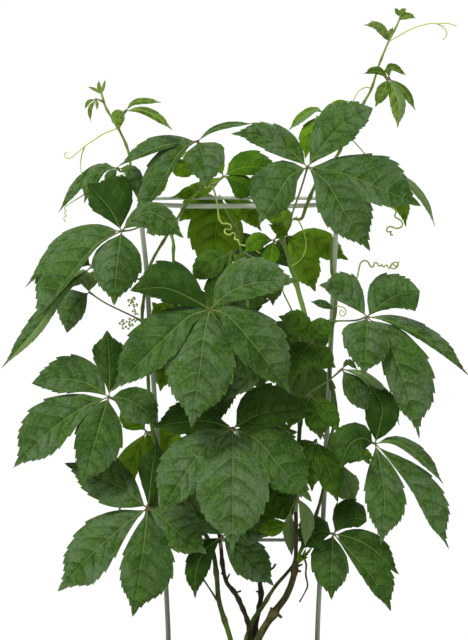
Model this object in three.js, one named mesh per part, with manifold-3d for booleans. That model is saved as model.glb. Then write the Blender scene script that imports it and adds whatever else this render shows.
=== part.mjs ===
// A climbing vine with five-part leaves on a plastic rod trellis, in a round pot.
// Millimetres, +Z up, the front of the plant faces -Y, the pot stands on z = 0 with its axis at x = y = 0.
import * as THREE from "three";
import { mergeVertices } from "three/addons/utils/BufferGeometryUtils.js";
import Module from "manifold-3d";

const solids = await Module();
solids.setup();

// Pot and soil.
const POT_TOP_RADIUS = 102;
const POT_FOOT_RADIUS = 76;
const POT_HEIGHT = 158;
const POT_WALL = 2.4;
const POT_FLOOR = 3;
const RIM_HEIGHT = 16;
const RIM_WIDTH = 3.2;
const FOOT_ROUND = 3;
const DRAIN_COUNT = 6;
const DRAIN_RADIUS = 5;
const DRAIN_CIRCLE = 50;
const DRAIN_SIDES = 8;
const LIP_ROUND = 1;
const ROUND_SIDES = 36;
const SOIL_TOP = 150;
const SOIL_FALL_AT_WALL = 3;
const SOIL_LEVEL_SHARE = 0.6;
const STEM_HOLE_SIDES = 8;
const LEG_HOLE_SIDES = 12;
const HOLE_TOP_FLARE = 1.35;
const HOLE_FOOT_FLARE = 1.15;
const HOLE_OVERRUN = 10;
const GAP = 0.3;
const SAME_POINT = 1e-4;

// Where the plant is seen from: points of the plant are given as photo x, photo y and depth in mm.
// One photo step is one millimetre in the upright plane through the pot's axis.
const PHOTO_MM = 1.0;
const PHOTO_AXIS_X = 240;
const PHOTO_SOIL_Y = 664;
const EYE_DISTANCE = 2400;
const EYE_X = -6;
const EYE_HEIGHT = 344;

// Trellis rods and how deep things stand in the soil.
const LEG_RADIUS = 2.5;
const TOP_BAR_RADIUS = 2.4;
const THIN_BAR_RADIUS = 1.75;
const LEG_SIDES = 8;
const LEG_STEPS = 9;
const BAR_SIDES = 6;
const BAR_STEPS = 8;
const LEG_DEPTH_IN_SOIL = 35;
const STEM_DEPTH_IN_SOIL = 25;
const STEM_SIDES = 6;
const TWIG_SIDES = 4;
const TWIG_TAPER = 0.77;

// Leaf proportions.
const LEAF_TILT = 0.6;
const LEAF_PEAK = 0.5;
const BASE_POWER = 1.1;
const TIP_POWER = 1.05;
const SMOOTH_BASE = 0.28;
const TOOTH_OUT = 1.07;
const TOOTH_IN = 0.9;
const TOOTH_LEAN = 0.78;
const BLADE_THICK = 1.7;
const RIB_THINNING = 0.4;
const NECK_U = 0.03;
const NECK_HALF = 1.2;
const BLADE_START = 1.1;
const RIB_ROWS = { 3: 2, 4: 3 };
const BLADE_DROOP = 0.14;
const HUB_RADIUS = 2.6;
const STALK_RADIUS = 1.15;
const STALK_SWELL = 1.15;
const STALK_ELBOW = 6;
const STALK_BEND_AT = 0.35;
const STALK_BOW = 3;
const STALK_SAG = 2;
const STALK_SIDES = 4;
const STALK_STEPS = 3;
const TENDRIL_RADIUS = 0.6;
const TENDRIL_FOOT = 1.4;
const TENDRIL_SIDES = 3;
const COIL_POINTS = 5;
const COIL_STEPS = 7;

function at(x, y, depth) {
  const k = (EYE_DISTANCE + depth) / EYE_DISTANCE;
  const seenX = (x - PHOTO_AXIS_X) * PHOTO_MM;
  const seenH = (PHOTO_SOIL_Y - y) * PHOTO_MM;
  return new THREE.Vector3(
    EYE_X + (seenX - EYE_X) * k,
    depth,
    SOIL_TOP + EYE_HEIGHT + (seenH - EYE_HEIGHT) * k,
  );
}

function path(points) {
  return points.map(([x, y, depth]) => at(x, y, depth));
}

function solid(geometry) {
  const bare = geometry.clone();
  bare.deleteAttribute("normal");
  bare.deleteAttribute("uv");
  const merged = mergeVertices(bare, SAME_POINT);
  return new solids.Manifold(
    new solids.Mesh({
      numProp: 3,
      vertProperties: new Float32Array(merged.attributes.position.array),
      triVerts: new Uint32Array(merged.index.array),
    }),
  );
}

function geometryOf(body) {
  const mesh = body.getMesh();
  const geometry = new THREE.BufferGeometry();
  geometry.setAttribute("position", new THREE.BufferAttribute(new Float32Array(mesh.vertProperties), 3));
  geometry.setIndex(new THREE.BufferAttribute(new Uint32Array(mesh.triVerts), 1));
  return geometry.toNonIndexed();
}

function join(bodies) {
  return solids.Manifold.union(bodies);
}

function closedBody(points, triangles) {
  const geometry = new THREE.BufferGeometry().setFromPoints(points);
  let volume = 0;
  for (const [a, b, c] of triangles) {
    volume += points[a].dot(points[b].clone().cross(points[c]));
  }
  const order = volume > 0 ? triangles : triangles.map(([a, b, c]) => [a, c, b]);
  geometry.setIndex(order.flat());
  return solid(geometry);
}

// A round rod along a smooth curve through the points, tapering from one radius to the other.
function rod(points, startRadius, endRadius, sides, steps) {
  const curve = new THREE.CatmullRomCurve3(points, false, "centripetal");
  const frames = curve.computeFrenetFrames(steps, false);
  const vertices = [];
  const triangles = [];
  for (let i = 0; i <= steps; i += 1) {
    const t = i / steps;
    const centre = curve.getPointAt(t);
    const radius = startRadius + (endRadius - startRadius) * t;
    for (let k = 0; k < sides; k += 1) {
      const angle = (2 * Math.PI * k) / sides;
      const out = frames.normals[i].clone().multiplyScalar(Math.cos(angle) * radius);
      out.addScaledVector(frames.binormals[i], Math.sin(angle) * radius);
      vertices.push(centre.clone().add(out));
    }
  }
  for (let i = 0; i < steps; i += 1) {
    for (let k = 0; k < sides; k += 1) {
      const a = i * sides + k;
      const b = i * sides + ((k + 1) % sides);
      triangles.push([a, b, b + sides], [a, b + sides, a + sides]);
    }
  }
  for (let k = 1; k < sides - 1; k += 1) {
    const last = steps * sides;
    triangles.push([0, k + 1, k], [last, last + k, last + k + 1]);
  }
  return closedBody(vertices, triangles);
}

// How wide a blade is along its rib, from 0 at both ends to 1 where it is widest.
function fullness(u, peak) {
  if (u < peak) {
    return Math.sin((Math.PI / 2) * (u / peak)) ** BASE_POWER;
  }
  return Math.cos((Math.PI / 2) * ((u - peak) / (1 - peak))) ** TIP_POWER;
}

// The points of one toothed edge from the neck to the last notch: how far along, and how far out.
function edgeOf(teeth, half, peak) {
  const edge = [
    { u: NECK_U, out: NECK_HALF },
    { u: SMOOTH_BASE, out: half * fullness(SMOOTH_BASE, peak) },
  ];
  const step = (1 - SMOOTH_BASE) / teeth;
  for (let i = 0; i < teeth; i += 1) {
    const tip = SMOOTH_BASE + (i + TOOTH_LEAN) * step;
    edge.push({ u: tip, out: half * TOOTH_OUT * fullness(tip, peak) });
    if (i < teeth - 1) {
      const notch = SMOOTH_BASE + (i + 1) * step;
      edge.push({ u: notch, out: half * TOOTH_IN * fullness(notch, peak) });
    }
  }
  return edge;
}

// One leaflet: an arched toothed blade, thick along its rib and sharp at its edge, pointed at both ends.
// Its half widths are those seen from the front, to the left and the right of someone who walks from hub
// to tip, and it leans back by the tilt for each millimetre upwards.
function blade({ rib, wide, tilt, peak, teeth }) {
  const curve = new THREE.CatmullRomCurve3(rib, false, "centripetal");
  const ribAt = [NECK_U];
  const rows = RIB_ROWS[teeth];
  for (let i = 1; i <= rows; i += 1) {
    ribAt.push(i / (rows + 1));
  }
  const frame = (u) => {
    const along = curve.getTangentAt(u);
    const flat = Math.hypot(along.x, along.z);
    const side = new THREE.Vector3(-along.z / flat, (tilt * along.x) / flat, along.x / flat);
    const up = side.clone().cross(along).normalize();
    if (up.y * tilt > 0) {
      up.negate();
    }
    return { point: curve.getPointAt(u), side, up };
  };
  const vertices = [curve.getPointAt(0), curve.getPointAt(1)];
  const tops = [];
  const unders = [];
  for (const u of ribAt) {
    const { point, up } = frame(u);
    const half = (BLADE_THICK / 2) * (1 - RIB_THINNING * u);
    tops.push({ u, index: vertices.push(point.clone().addScaledVector(up, half)) - 1 });
    unders.push({ u, index: vertices.push(point.clone().addScaledVector(up, -half)) - 1 });
  }
  const triangles = [];
  for (const hand of [1, -1]) {
    const half = hand > 0 ? wide[0] : wide[1];
    const edge = edgeOf(teeth, half, peak).map(({ u, out }) => {
      const { point, side } = frame(u);
      const spot = point.addScaledVector(side, hand * out);
      spot.y += Math.sign(tilt) * BLADE_DROOP * out;
      return { u, index: vertices.push(spot) - 1 };
    });
    const outer = [{ u: 0, index: 0 }, ...edge, { u: 1, index: 1 }];
    for (const [ribs, flip] of [[tops, hand > 0], [unders, hand < 0]]) {
      const inner = [{ u: 0, index: 0 }, ...ribs, { u: 1, index: 1 }];
      let i = 0;
      let j = 0;
      while (i < inner.length - 1 || j < outer.length - 1) {
        const nextInner = i < inner.length - 1 ? inner[i + 1].u : 2;
        const nextOuter = j < outer.length - 1 ? outer[j + 1].u : 2;
        const a = inner[i].index;
        const b = outer[j].index;
        let c;
        if (nextInner < nextOuter) {
          i += 1;
          c = inner[i].index;
        } else {
          j += 1;
          c = outer[j].index;
        }
        if (a !== b && b !== c && a !== c) {
          triangles.push(flip ? [a, b, c] : [a, c, b]);
        }
      }
    }
  }
  return closedBody(vertices, triangles);
}

// Stems from the soil up: points, thickness at the foot and at the end.
const STEMS = {
  stem_green_left: {
    tone: "greenStem",
    thick: [5.6, 3.2],
    steps: 24,
    points: [
      [236, 664, 3], [229.5, 636, 3], [219, 601, 4], [216.5, 575, 4], [212, 549, 6], [186, 500, 9], [157, 445, 10],
      [151, 420, 10], [147, 360, 10], [142.2, 321, 8], [143.7, 299, 7], [150, 266, 6], [166, 237, 4],
      [179, 216, 2], [190, 200, 2], [205, 187, 4],
    ],
    twigs: [{ from: [217, 600, 4], to: [204, 580, -4], thick: 2.4 }],
  },
  stem_woody_left: {
    tone: "wood",
    thick: [5.6, 3.4],
    steps: 24,
    points: [
      [248, 664, 4], [250, 640, 2], [248, 623, 1], [242, 607, -2], [235, 593, -4], [227, 583, -5], [223, 568, -5],
      [220, 539, -5], [212, 500, -5], [203, 445, -5], [192, 380, -6], [182, 320, -7], [173.6, 262, -8],
      [172, 237, -9], [158, 219, -8], [140, 200, -4],
    ],
    twigs: [{ from: [235, 593, -4], to: [243, 588, -12], thick: 3 }],
  },
  stem_dark_middle: {
    tone: "wood",
    thick: [4.6, 2.6],
    steps: 16,
    points: [
      [253, 664, 20], [255, 630, 20], [259, 609, 21], [261, 597, 21], [260, 584, 21], [252, 550, 19], [248, 530, 18],
      [249, 470, 17], [251, 400, 17], [251, 370, 17], [249, 320, 16], [243, 265, 16], [236, 222, 18],
    ],
    twigs: [],
  },
  stem_green_right: {
    tone: "greenStem",
    thick: [4.6, 3],
    steps: 20,
    points: [
      [240, 664, 14], [247.5, 636, 12], [253.5, 619, 11], [262.4, 607, 9], [274, 588, 8], [294, 564, 8], [307, 537, 8],
      [316, 515, 8], [323, 490, 9], [331, 440, 10], [336, 395, 10], [338, 326, 10], [338.5, 302, 10], [331, 267, 10],
      [331.8, 238, 10],
    ],
    twigs: [],
  },
  stem_woody_right: {
    tone: "wood",
    thick: [7.2, 4],
    steps: 22,
    points: [
      [251, 664, -9], [258.6, 638, -9], [274, 613, -9], [286.7, 595, -9], [294, 574, -9], [296, 545, -9],
      [296, 500, -9], [299, 440, -8], [303, 380, -8], [306.5, 326, -8], [298, 290, -7], [288.8, 257, -6],
      [282, 236, -5], [286, 224, -4], [292, 219, -3],
    ],
    twigs: [
      { from: [274, 613, -9], to: [281, 617, -16], thick: 3.4 },
      { from: [306.5, 563, -20], to: [300, 601, -24], thick: 1.8, by: [[305, 577, -22], [308, 589, -24]] },
      { from: [295.6, 566, -9], to: [306.5, 563, -20], thick: 2 },
    ],
  },
  shoot_left: {
    tone: "young",
    thick: [3.3, 2],
    steps: 12,
    points: [
      [139.6, 199.4, -4], [132, 184, -4], [129, 154, -6], [119, 129.5, -8], [108, 111.6, -10], [104.6, 104.5, -11],
      [101.5, 93, -12],
    ],
    twigs: [],
  },
  shoot_right: {
    tone: "young",
    thick: [3.8, 1.8],
    steps: 15,
    points: [
      [293.6, 218.7, -3], [301, 219, 0], [306, 207, 4], [318, 180, 8], [337.5, 155, 8], [344.4, 140, 8],
      [363, 104, 5], [371, 89.6, 3], [378.6, 66, 0], [389, 40.6, -3], [398, 23, -5], [400.6, 15, -6],
    ],
    twigs: [],
  },
};

// Tendrils grow from the stem or shoot named, and are one body with it.
const TENDRILS = [
  { of: "shoot_left", steps: 12, points: [[118, 128, -8], [103, 134, -12], [94, 140, -16], [85, 146, -18],
    [76, 153.6, -20], [69, 158.5, -20], [64, 156, -18], [66.5, 152, -15]] },
  { of: "shoot_left", steps: 5, points: [[85, 146, -18], [82, 154, -16], [80.5, 164, -14], [81.4, 175, -14]] },
  { of: "shoot_right", steps: 14, points: [[389.5, 41, -3], [400, 35, -6], [411.4, 29, -10], [424.6, 24.5, -12],
    [436, 23.6, -12], [444, 28, -10], [447, 34, -8], [443, 40, -6]] },
  { of: "shoot_right", steps: 4, points: [[437, 23.8, -12], [446, 23, -13], [457, 26, -14]] },
  { of: "shoot_right", steps: 5, points: [[371, 88, 3], [365, 87.5, -6], [358, 92, -10], [353, 101.6, -12]] },
  { of: "shoot_right", steps: 4, points: [[345, 139, 8], [352, 140, -4], [358, 146, -8], [365, 154, -8]] },
  { of: "shoot_right", steps: 10, points: [[331, 163, 9], [352, 176, 4], [382, 204, 4], [394, 217, 4],
    [402, 222, 5], [399, 228, 7], [392, 227, 7], [387, 231, 6], [391, 235, 6]] },
  { of: "shoot_right", steps: 5, points: [[296.3, 216.8, -1.8], [303, 230, -12], [306, 243, -16], [304, 254, -16],
    [298, 262, -14], [291, 266, -13]] },
  { of: "shoot_left", steps: 8, points: [[131, 172, -5], [108, 180, 4], [82, 197, 6], [65, 209, 6],
    [69, 213, 6], [63, 216, 6], [66, 222, 6]] },
  { of: "stem_green_left", steps: 18, points: [[205, 187.5, 3], [214, 188, -8], [217, 202, -12], [218.4, 217, -12],
    [223, 224, -12], [229, 225, -10], [231, 232, -8], [236, 237, -8], [239, 244, -8], [246, 246, -10],
    [255, 249.7, -12], [260, 253.5, -12]] },
  { of: "stem_green_left", steps: 8, points: [[142.5, 312, 8], [137, 312, 0], [129, 309, -6], [127, 303, -8],
    [132, 300, -6], [134, 305, -3]] },
  { of: "stem_green_left", steps: 8, points: [[142.5, 319, 8], [136, 321, 0], [127, 321, -6], [120, 325, -8],
    [124, 329, -6], [130, 326, -3]] },
];

// The coiled tendril beside the right leg, the small curl above it and the one that hangs on the far left.
const COILS = [
  { of: "stem_green_right", from: [338, 300, 10], lead: [352, 284, -4], start: [359, 268, -8], end: [398, 264, -8],
    turns: 5, radius: 4 },
];

// The leaves: where the leaflets meet (hub), where the stalk meets its stem (joint), then each leaflet by
// the points its rib passes. Width is across the leaflet; where none is given it follows the length.
const LEAVES = {
  leaf_front_upper: { tone: "deep", hub: [210, 309.5, -78], stem: "stem_woody_left", joint: [184, 330], teeth: 4,
    blades: [
      { by: [[190, 298, -82], [165, 288, -88]], tip: [130, 290.5, -96], wide: [12, 25] },
      { by: [[230, 292, -82], [255, 283, -88]], tip: [300, 281, -98], wide: [26, 14] },
      { by: [[190, 316, -86], [160, 343, -98]], tip: [110, 393, -92], wide: [18, 28] },
      { by: [[205, 332, -92], [200, 368, -104]], tip: [191.3, 428, -106], wide: [33, 33] },
      { by: [[225, 314, -86], [255, 346, -98]], tip: [291, 394.4, -94], wide: [30, 19] },
      { by: [[236, 350, -80], [247, 376, -75]], tip: [224, 402, -72], wide: [14, 15] },
    ] },
  leaf_front_lower: { tone: "deep", hub: [233, 428, -52], stem: "stem_dark_middle", joint: [249.5, 445], teeth: 4,
    blades: [
      { by: [[205, 421, -50], [180, 422.5, -54]], tip: [152.3, 427, -60], wide: [11.5, 18.5], peak: 0.62 },
      { by: [[258, 415, -50], [285, 410, -56]], tip: [314, 410.5, -62], wide: [27, 14], peak: 0.42 },
      { by: [[212, 440, -64], [190, 467, -72]], tip: [158.6, 517, -80], wide: [18, 28], peak: 0.55 },
      { by: [[233, 460, -76], [233, 490, -86]], tip: [232.3, 555, -92], wide: [35, 36] },
      { by: [[257, 440, -62], [276, 462, -70]], tip: [312, 502, -78], wide: [29, 22], peak: 0.48 },
    ] },
  leaf_left_middle: { tone: "deep", hub: [109, 397, -34], stem: "stem_green_left", joint: [150, 412], teeth: 4,
    blades: [
      { by: [[109.5, 370, -30]], tip: [107, 330, -34], wide: [16, 16], peak: 0.64 },
      { by: [[85, 382.5, -35], [60, 379, -38]], tip: [31.5, 383.5, -44], wide: [14, 23], peak: 0.44 },
      { by: [[84, 407, -40], [50, 431, -46]], tip: [13, 468, -40], wide: [20, 30], peak: 0.55 },
      { by: [[103, 415, -48], [95.5, 440, -56]], tip: [82, 488.5, -60], wide: [25, 23] },
      { by: [[122, 398, -34], [140, 406, -34]], tip: [158, 427, -36], wide: [15, 18] },
    ] },
  leaf_left_low: { tone: "deep", hub: [147.5, 508, -36], stem: "stem_green_left", joint: [186, 500], teeth: 4,
    blades: [
      { by: [[150, 490, -31], [152, 470, -26]], tip: [156, 443, -22], wide: [15, 14], peak: 0.6 },
      { by: [[122, 488, -34], [92, 475, -34]], tip: [64, 463, -32], wide: [22, 26], peak: 0.42 },
      { by: [[122, 527, -44], [90, 556, -48]], tip: [57.5, 591.5, -46], wide: [26, 26], peak: 0.55 },
      { by: [[146, 525, -44], [142, 560, -54]], tip: [132.5, 617, -56], wide: [30, 25] },
      { by: [[160, 516, -38], [182, 536, -42]], tip: [207, 554, -46], wide: [22, 17] },
    ] },
  leaf_right_middle: { tone: "deep", hub: [367, 316.7, -48], stem: "stem_green_right", joint: [338.5, 322], teeth: 4,
    blades: [
      { by: [[354, 303, -46], [338, 291, -46]], tip: [319, 285, -48], wide: [8, 21], peak: 0.6 },
      { by: [[384, 303, -46], [398, 294, -48]], tip: [422, 290, -54], wide: [26, 15] },
      { by: [[385, 319.5, -52], [412, 331, -56], [440, 349, -58]], tip: [470, 377, -62], wide: [12, 4], tilt: 2 },
      { by: [[386, 337, -58], [396, 360, -62], [408, 394, -64]], tip: [419.7, 440, -66], wide: [31, 16], peak: 0.52 },
      { by: [[366.5, 340, -60]], tip: [363, 376, -66], wide: [24, 24], peak: 0.55 },
    ] },
  leaf_right_low: { tone: "deep", hub: [375, 443.5, -34], stem: "stem_green_right", joint: [333, 425], teeth: 4,
    blades: [
      { by: [[380, 424, -38], [382, 406, -40]], tip: [369, 384, -42], wide: [17, 17] },
      { by: [[362, 438, -44], [350, 444, -50]], tip: [340, 468, -56], wide: [27, 18] },
      { by: [[381, 468, -44], [384.5, 500, -52]], tip: [381, 545, -54], wide: [21.5, 19] },
      { by: [[395, 465, -40], [417, 491, -44]], tip: [450, 551, -48], wide: [22, 8], peak: 0.57 },
      { by: [[392, 441, -36], [410, 449, -38], [428, 465, -42]], tip: [444, 485, -44], wide: [8.5, 4.5], tilt: 2 },
    ] },
  leaf_right_base: { tone: "deep", hub: [333.4, 533.8, -20], stem: "stem_green_right", joint: [312, 524], teeth: 4,
    blades: [
      { by: [[346, 520, -16], [357, 510, -16]], tip: [370, 513, -18], wide: [17, 14], peak: 0.6 },
      { by: [[320, 529, -22], [308, 534, -26]], tip: [298, 544, -28], wide: [9, 13] },
      { by: [[332, 555, -30], [331.5, 578, -36]], tip: [331.5, 600, -38], wide: [17, 21] },
      { by: [[355, 557, -30], [372, 577, -36]], tip: [391, 611.5, -38], wide: [19, 8], peak: 0.65 },
      { by: [[352, 538, -22], [370, 547, -24], [386, 561, -28]], tip: [399.4, 575, -30], wide: [14, 15] },
    ] },
  leaf_right_top: { tone: "deep", hub: [307.5, 167, -40], stem: "stem_woody_right", joint: [290, 220], teeth: 4,
    blades: [
      { by: [[294, 154, -40], [276, 142, -40], [254, 135, -44]], tip: [230.5, 133.8, -48], wide: [12, 17.5], peak: 0.48 },
      { by: [[320, 150, -38], [342, 125, -40]], tip: [373, 108, -44], wide: [24, 18], peak: 0.58 },
      { by: [[335, 171, -42], [365, 182, -44]], tip: [421, 206, -52], wide: [32, 17], peak: 0.6 },
      { by: [[327, 183, -50], [343, 210, -58]], tip: [370.5, 251.5, -60], wide: [30, 22] },
      { by: [[289, 177, -50], [277, 197, -56]], tip: [259, 224, -62], wide: [15, 31], peak: 0.54 },
    ] },
  leaf_right_top_behind: { tone: "fresh", hub: [325, 114, 26], stem: "shoot_right", joint: [343, 143], teeth: 3,
    blades: [
      { by: [[316, 110, 26], [303, 118, 24]], tip: [288, 130, 22], wide: [5, 5], tilt: 1.5 },
      { by: [[312, 134, 20]], tip: [305, 159, 18], wide: [9, 12] },
      { by: [[337, 104, 30]], tip: [350, 101, 30], wide: [4, 5] },
    ] },
  leaf_right_top_outer: { tone: "fresh", hub: [368, 168, 30], stem: "shoot_right", joint: [330, 164], teeth: 3,
    blades: [
      { by: [[405, 180, 26], [425, 201, 22]], tip: [436, 229, 20], wide: [4, 5], tilt: 1.5 },
      { by: [[390, 186, 27], [402, 206, 24]], tip: [406, 228, 20], wide: [10, 10] },
    ] },
  leaf_left_upper: { tone: "deep", hub: [121.5, 231, -44], stem: "stem_woody_left", joint: [158, 219], teeth: 4,
    blades: [
      { by: [[100, 230.5, -47], [66, 242, -52], [46, 263, -55]], tip: [24, 289, -58], wide: [10, 9], peak: 0.4 },
      { by: [[97, 244, -52], [68, 278, -60]], tip: [33, 322, -62], wide: [4, 34] },
      { by: [[119, 250, -54], [116, 275, -61]], tip: [114, 306, -64], wide: [24, 25], peak: 0.45 },
      { by: [[134, 218, -46], [150, 212, -52], [167, 221, -56]], tip: [184, 238, -60], wide: [11, 21], peak: 0.55 },
      { by: [[110, 209, -38]], tip: [87, 183, -34], wide: [14, 33], peak: 0.62 },
    ] },
  leaf_left_drooping: { tone: "deep", hub: [92, 266, -16], stem: "stem_green_left", joint: [147, 282], teeth: 4,
    blades: [
      { by: [[62, 294, -24], [38, 326, -30]], tip: [0, 370, -34], wide: [9, 11], peak: 0.55 },
      { by: [[75, 258, -16]], tip: [50, 268, -20], wide: [14, 14] },
    ] },
  leaf_left_crown: { tone: "deep", hub: [198, 141, -22], stem: "stem_green_left", joint: [201, 190], teeth: 4,
    blades: [
      { by: [[180, 142.5, -22], [160, 147, -24], [140, 155, -28]], tip: [117, 167, -32], wide: [4, 13], tilt: 1.2 },
      { by: [[184, 148, -26], [167, 172, -30], [150, 200, -26]], tip: [129, 222, -22], wide: [4, 20], peak: 0.42 },
      { by: [[204, 160, -40]], tip: [207, 188, -46], wide: [22, 20], peak: 0.35 },
      { by: [[210, 131, -20], [228, 125, -22]], tip: [255, 123.5, -26], wide: [3.5, 3.5], tilt: 2 },
    ] },
  leaf_left_outer: { tone: "deep", hub: [118, 168, -12], stem: "shoot_left", joint: [131, 176], teeth: 3,
    blades: [
      { by: [[104, 170, -14], [93, 186, -18]], tip: [84, 203.6, -22], wide: [3, 12] },
      { by: [[100, 167, -8], [80, 183, -6]], tip: [58, 213, -8], wide: [5, 6] },
      { by: [[110, 176, -17]], tip: [104, 183, -22], wide: [5, 5] },
      { by: [[130, 171, -13]], tip: [139, 197, -13], wide: [9, 8] },
    ] },
  leaf_left_small: { tone: "deep", hub: [89, 292, 14], stem: "stem_green_left", joint: [142.2, 321], teeth: 3,
    blades: [
      { by: [[92, 279, 14]], tip: [97, 269, 14], wide: [6, 6] },
      { by: [[82, 280, 12]], tip: [70, 288, 10], wide: [4, 8] },
      { by: [[80, 302, 10], [73, 312, 8]], tip: [67, 333, 6], wide: [10, 17] },
    ] },
  leaf_shoot_right: { tone: "young", hub: [389, 78, -6], stem: "shoot_right", joint: [376, 72], teeth: 3,
    blades: [
      { by: [[377, 72, -10]], tip: [363.7, 73.8, -14], wide: [4, 5] },
      { by: [[397, 71, -8]], tip: [405.6, 75, -12], wide: [4, 4] },
      { by: [[383, 92, -16]], tip: [375, 107.5, -18], wide: [6, 7] },
      { by: [[398, 102, -18]], tip: [397.7, 128.5, -22], wide: [7.5, 8] },
      { by: [[405, 92, -12]], tip: [415.7, 111, -16], wide: [4, 4] },
    ] },
  leaf_shoot_left: { tone: "young", hub: [125.6, 110.8, -6], stem: "shoot_left", joint: [111, 116.5], teeth: 3,
    blades: [
      { by: [[133, 103, -6], [147, 101, -8]], tip: [162, 102.5, -10], wide: [3.5, 3.2] },
      { by: [[140, 110, -16], [155, 116, -28]], tip: [173, 130.2, -44], wide: [5, 4] },
      { by: [[119, 117, -18]], tip: [119.5, 130, -20], wide: [6, 8] },
    ] },
  leaf_shoot_left_small: { tone: "young", hub: [96, 99, -16], stem: "shoot_left", joint: [103.5, 102], teeth: 3,
    blades: [
      { by: [[89, 101.5, -20]], tip: [84.5, 109.5, -24], wide: [1.8, 2] },
      { by: [[90, 109, -22]], tip: [90.5, 122, -24], wide: [2.2, 2] },
      { by: [[97, 104, -22]], tip: [97, 110.5, -24], wide: [1.6, 1.6] },
    ] },
  leaf_back_crown: { tone: "fresh", hub: [223.7, 176, 36], stem: "stem_green_left", joint: [203, 188.5], teeth: 3,
    blades: [
      { by: [[240, 168, 34], [258, 167, 32]], tip: [282, 172, 30], wide: [18, 9], peak: 0.45 },
      { by: [[240, 182, 30]], tip: [256, 196, 28], wide: [9, 9] },
      { by: [[203, 188, 32]], tip: [170, 198, 30], wide: [8, 8] },
      { by: [[214, 160, 38]], tip: [200, 152, 36], wide: [9, 9] },
    ] },
  leaf_back_large: { tone: "fresh", hub: [220, 196, 46], stem: "stem_dark_middle", joint: [238, 235], teeth: 4,
    blades: [
      { by: [[216, 232, 44]], tip: [213, 276, 44], wide: [28, 29], peak: 0.42 },
      { by: [[196, 206, 48]], tip: [178, 222, 46], wide: [13, 13] },
      { by: [[246, 210, 48]], tip: [262, 232, 46], wide: [11, 11] },
    ] },
  leaf_inner_olive: { tone: "dim", hub: [232, 252, 2], stem: "stem_dark_middle", joint: [243, 262], teeth: 3,
    blades: [
      { by: [[212, 262, -2]], tip: [190, 281, -6], wide: [14, 14] },
      { by: [[222, 280, -6]], tip: [212, 309, -14], wide: [12, 12] },
      { by: [[246, 268, -4]], tip: [256, 290, -10], wide: [12, 12] },
    ] },
  leaf_inner_small: { tone: "fresh", hub: [274, 240, -22], stem: "stem_woody_right", joint: [282, 241], teeth: 3,
    blades: [
      { by: [[258, 241, -27]], tip: [244, 253, -32], wide: [8, 9] },
      { by: [[271, 252, -28]], tip: [268, 268, -34], wide: [9, 9] },
      { by: [[282, 232, -22]], tip: [268, 224, -24], wide: [6, 6] },
    ] },
  leaf_back_right: { tone: "fresh", hub: [288, 236, 42], stem: "stem_woody_right", joint: [284, 228], teeth: 4,
    blades: [
      { by: [[312, 240, 46]], tip: [348.6, 260, 46], wide: [14, 14] },
      { by: [[303, 262, 38]], tip: [315.5, 292, 36], wide: [16, 16] },
      { by: [[280, 216, 44]], tip: [258, 208, 44], wide: [12, 12] },
    ] },
  leaf_back_left: { tone: "fresh", hub: [166, 160, 58], stem: "shoot_left", joint: [133, 187], teeth: 3,
    blades: [
      { by: [[180, 167, 60]], tip: [197, 175, 60], wide: [9, 10] },
      { by: [[158, 180, 60]], tip: [150, 203, 58], wide: [10, 10] },
      { by: [[176, 152, 60]], tip: [189, 147, 60], wide: [6, 8] },
    ] },
  leaf_inner_right: { tone: "dim", hub: [312, 341, -26], stem: "stem_woody_right", joint: [306, 345], teeth: 3,
    blades: [
      { by: [[298, 324, -30]], tip: [278, 316, -36], wide: [12, 12] },
      { by: [[322, 328, -30]], tip: [333, 322, -34], wide: [11, 11] },
      { by: [[320, 355, -32]], tip: [336, 368, -38], wide: [12, 12] },
      { by: [[301, 356, -34]], tip: [294, 377, -40], wide: [15, 15] },
    ] },
  leaf_inner_right_low: { tone: "deep", hub: [342, 369, -22], stem: "stem_woody_right", joint: [302, 398], teeth: 3,
    blades: [
      { by: [[352, 385, -21], [362, 399, -19]], tip: [371, 414, -16], wide: [13, 12] },
      { by: [[362, 374, -16], [380, 389, -10], [393, 405, -10]], tip: [400, 427, -12], wide: [5, 7], tilt: 1.5 },
      { by: [[348, 362, -18]], tip: [358, 370, -16], wide: [3, 3] },
    ] },
  leaf_inner_low_right: { tone: "dim", hub: [309.5, 395, -30], stem: "stem_woody_right", joint: [301, 412], teeth: 3,
    blades: [
      { by: [[317, 416, -36]], tip: [321, 440, -42], wide: [13, 13] },
      { by: [[328, 412, -36]], tip: [339, 434, -44], wide: [9, 9] },
      { by: [[296, 408, -42]], tip: [288, 430, -48], wide: [12, 12] },
    ] },
  leaf_hanging_right: { tone: "dim", hub: [316, 440, -28], stem: "stem_woody_right", joint: [298.5, 446], teeth: 3,
    blades: [
      { by: [[329, 470, -36]], tip: [338, 503, -40], wide: [14, 14] },
      { by: [[304, 450, -34]], tip: [290, 470, -40], wide: [12, 12] },
      { by: [[312, 466, -38]], tip: [312, 492, -44], wide: [11, 11] },
    ] },
  leaf_back_right_low: { tone: "fresh", hub: [350, 462, 42], stem: "stem_green_right", joint: [326, 474], teeth: 3,
    blades: [
      { by: [[351, 480, 38]], tip: [352, 502, 36], wide: [15, 15] },
      { by: [[368, 466, 40]], tip: [388, 478, 36], wide: [13, 13] },
      { by: [[336, 446, 44]], tip: [322, 434, 44], wide: [13, 13] },
      { by: [[362, 446, 44]], tip: [372, 428, 44], wide: [12, 12] },
    ] },
  leaf_hanging_middle: { tone: "fresh", hub: [298, 497, -30], stem: "stem_woody_right", joint: [296, 512], teeth: 3,
    blades: [
      { by: [[302, 520, -34]], tip: [300, 546, -38], wide: [7, 7] },
      { by: [[290, 524, -36]], tip: [286, 558, -40], wide: [7, 7] },
      { by: [[284, 514, -36]], tip: [258, 531, -42], wide: [9, 8] },
    ] },
  leaf_back_middle: { tone: "dim", hub: [264, 478, 38], stem: "stem_dark_middle", joint: [249, 486], teeth: 3,
    blades: [
      { by: [[279, 500, 34]], tip: [293, 524, 32], wide: [17, 17] },
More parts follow.
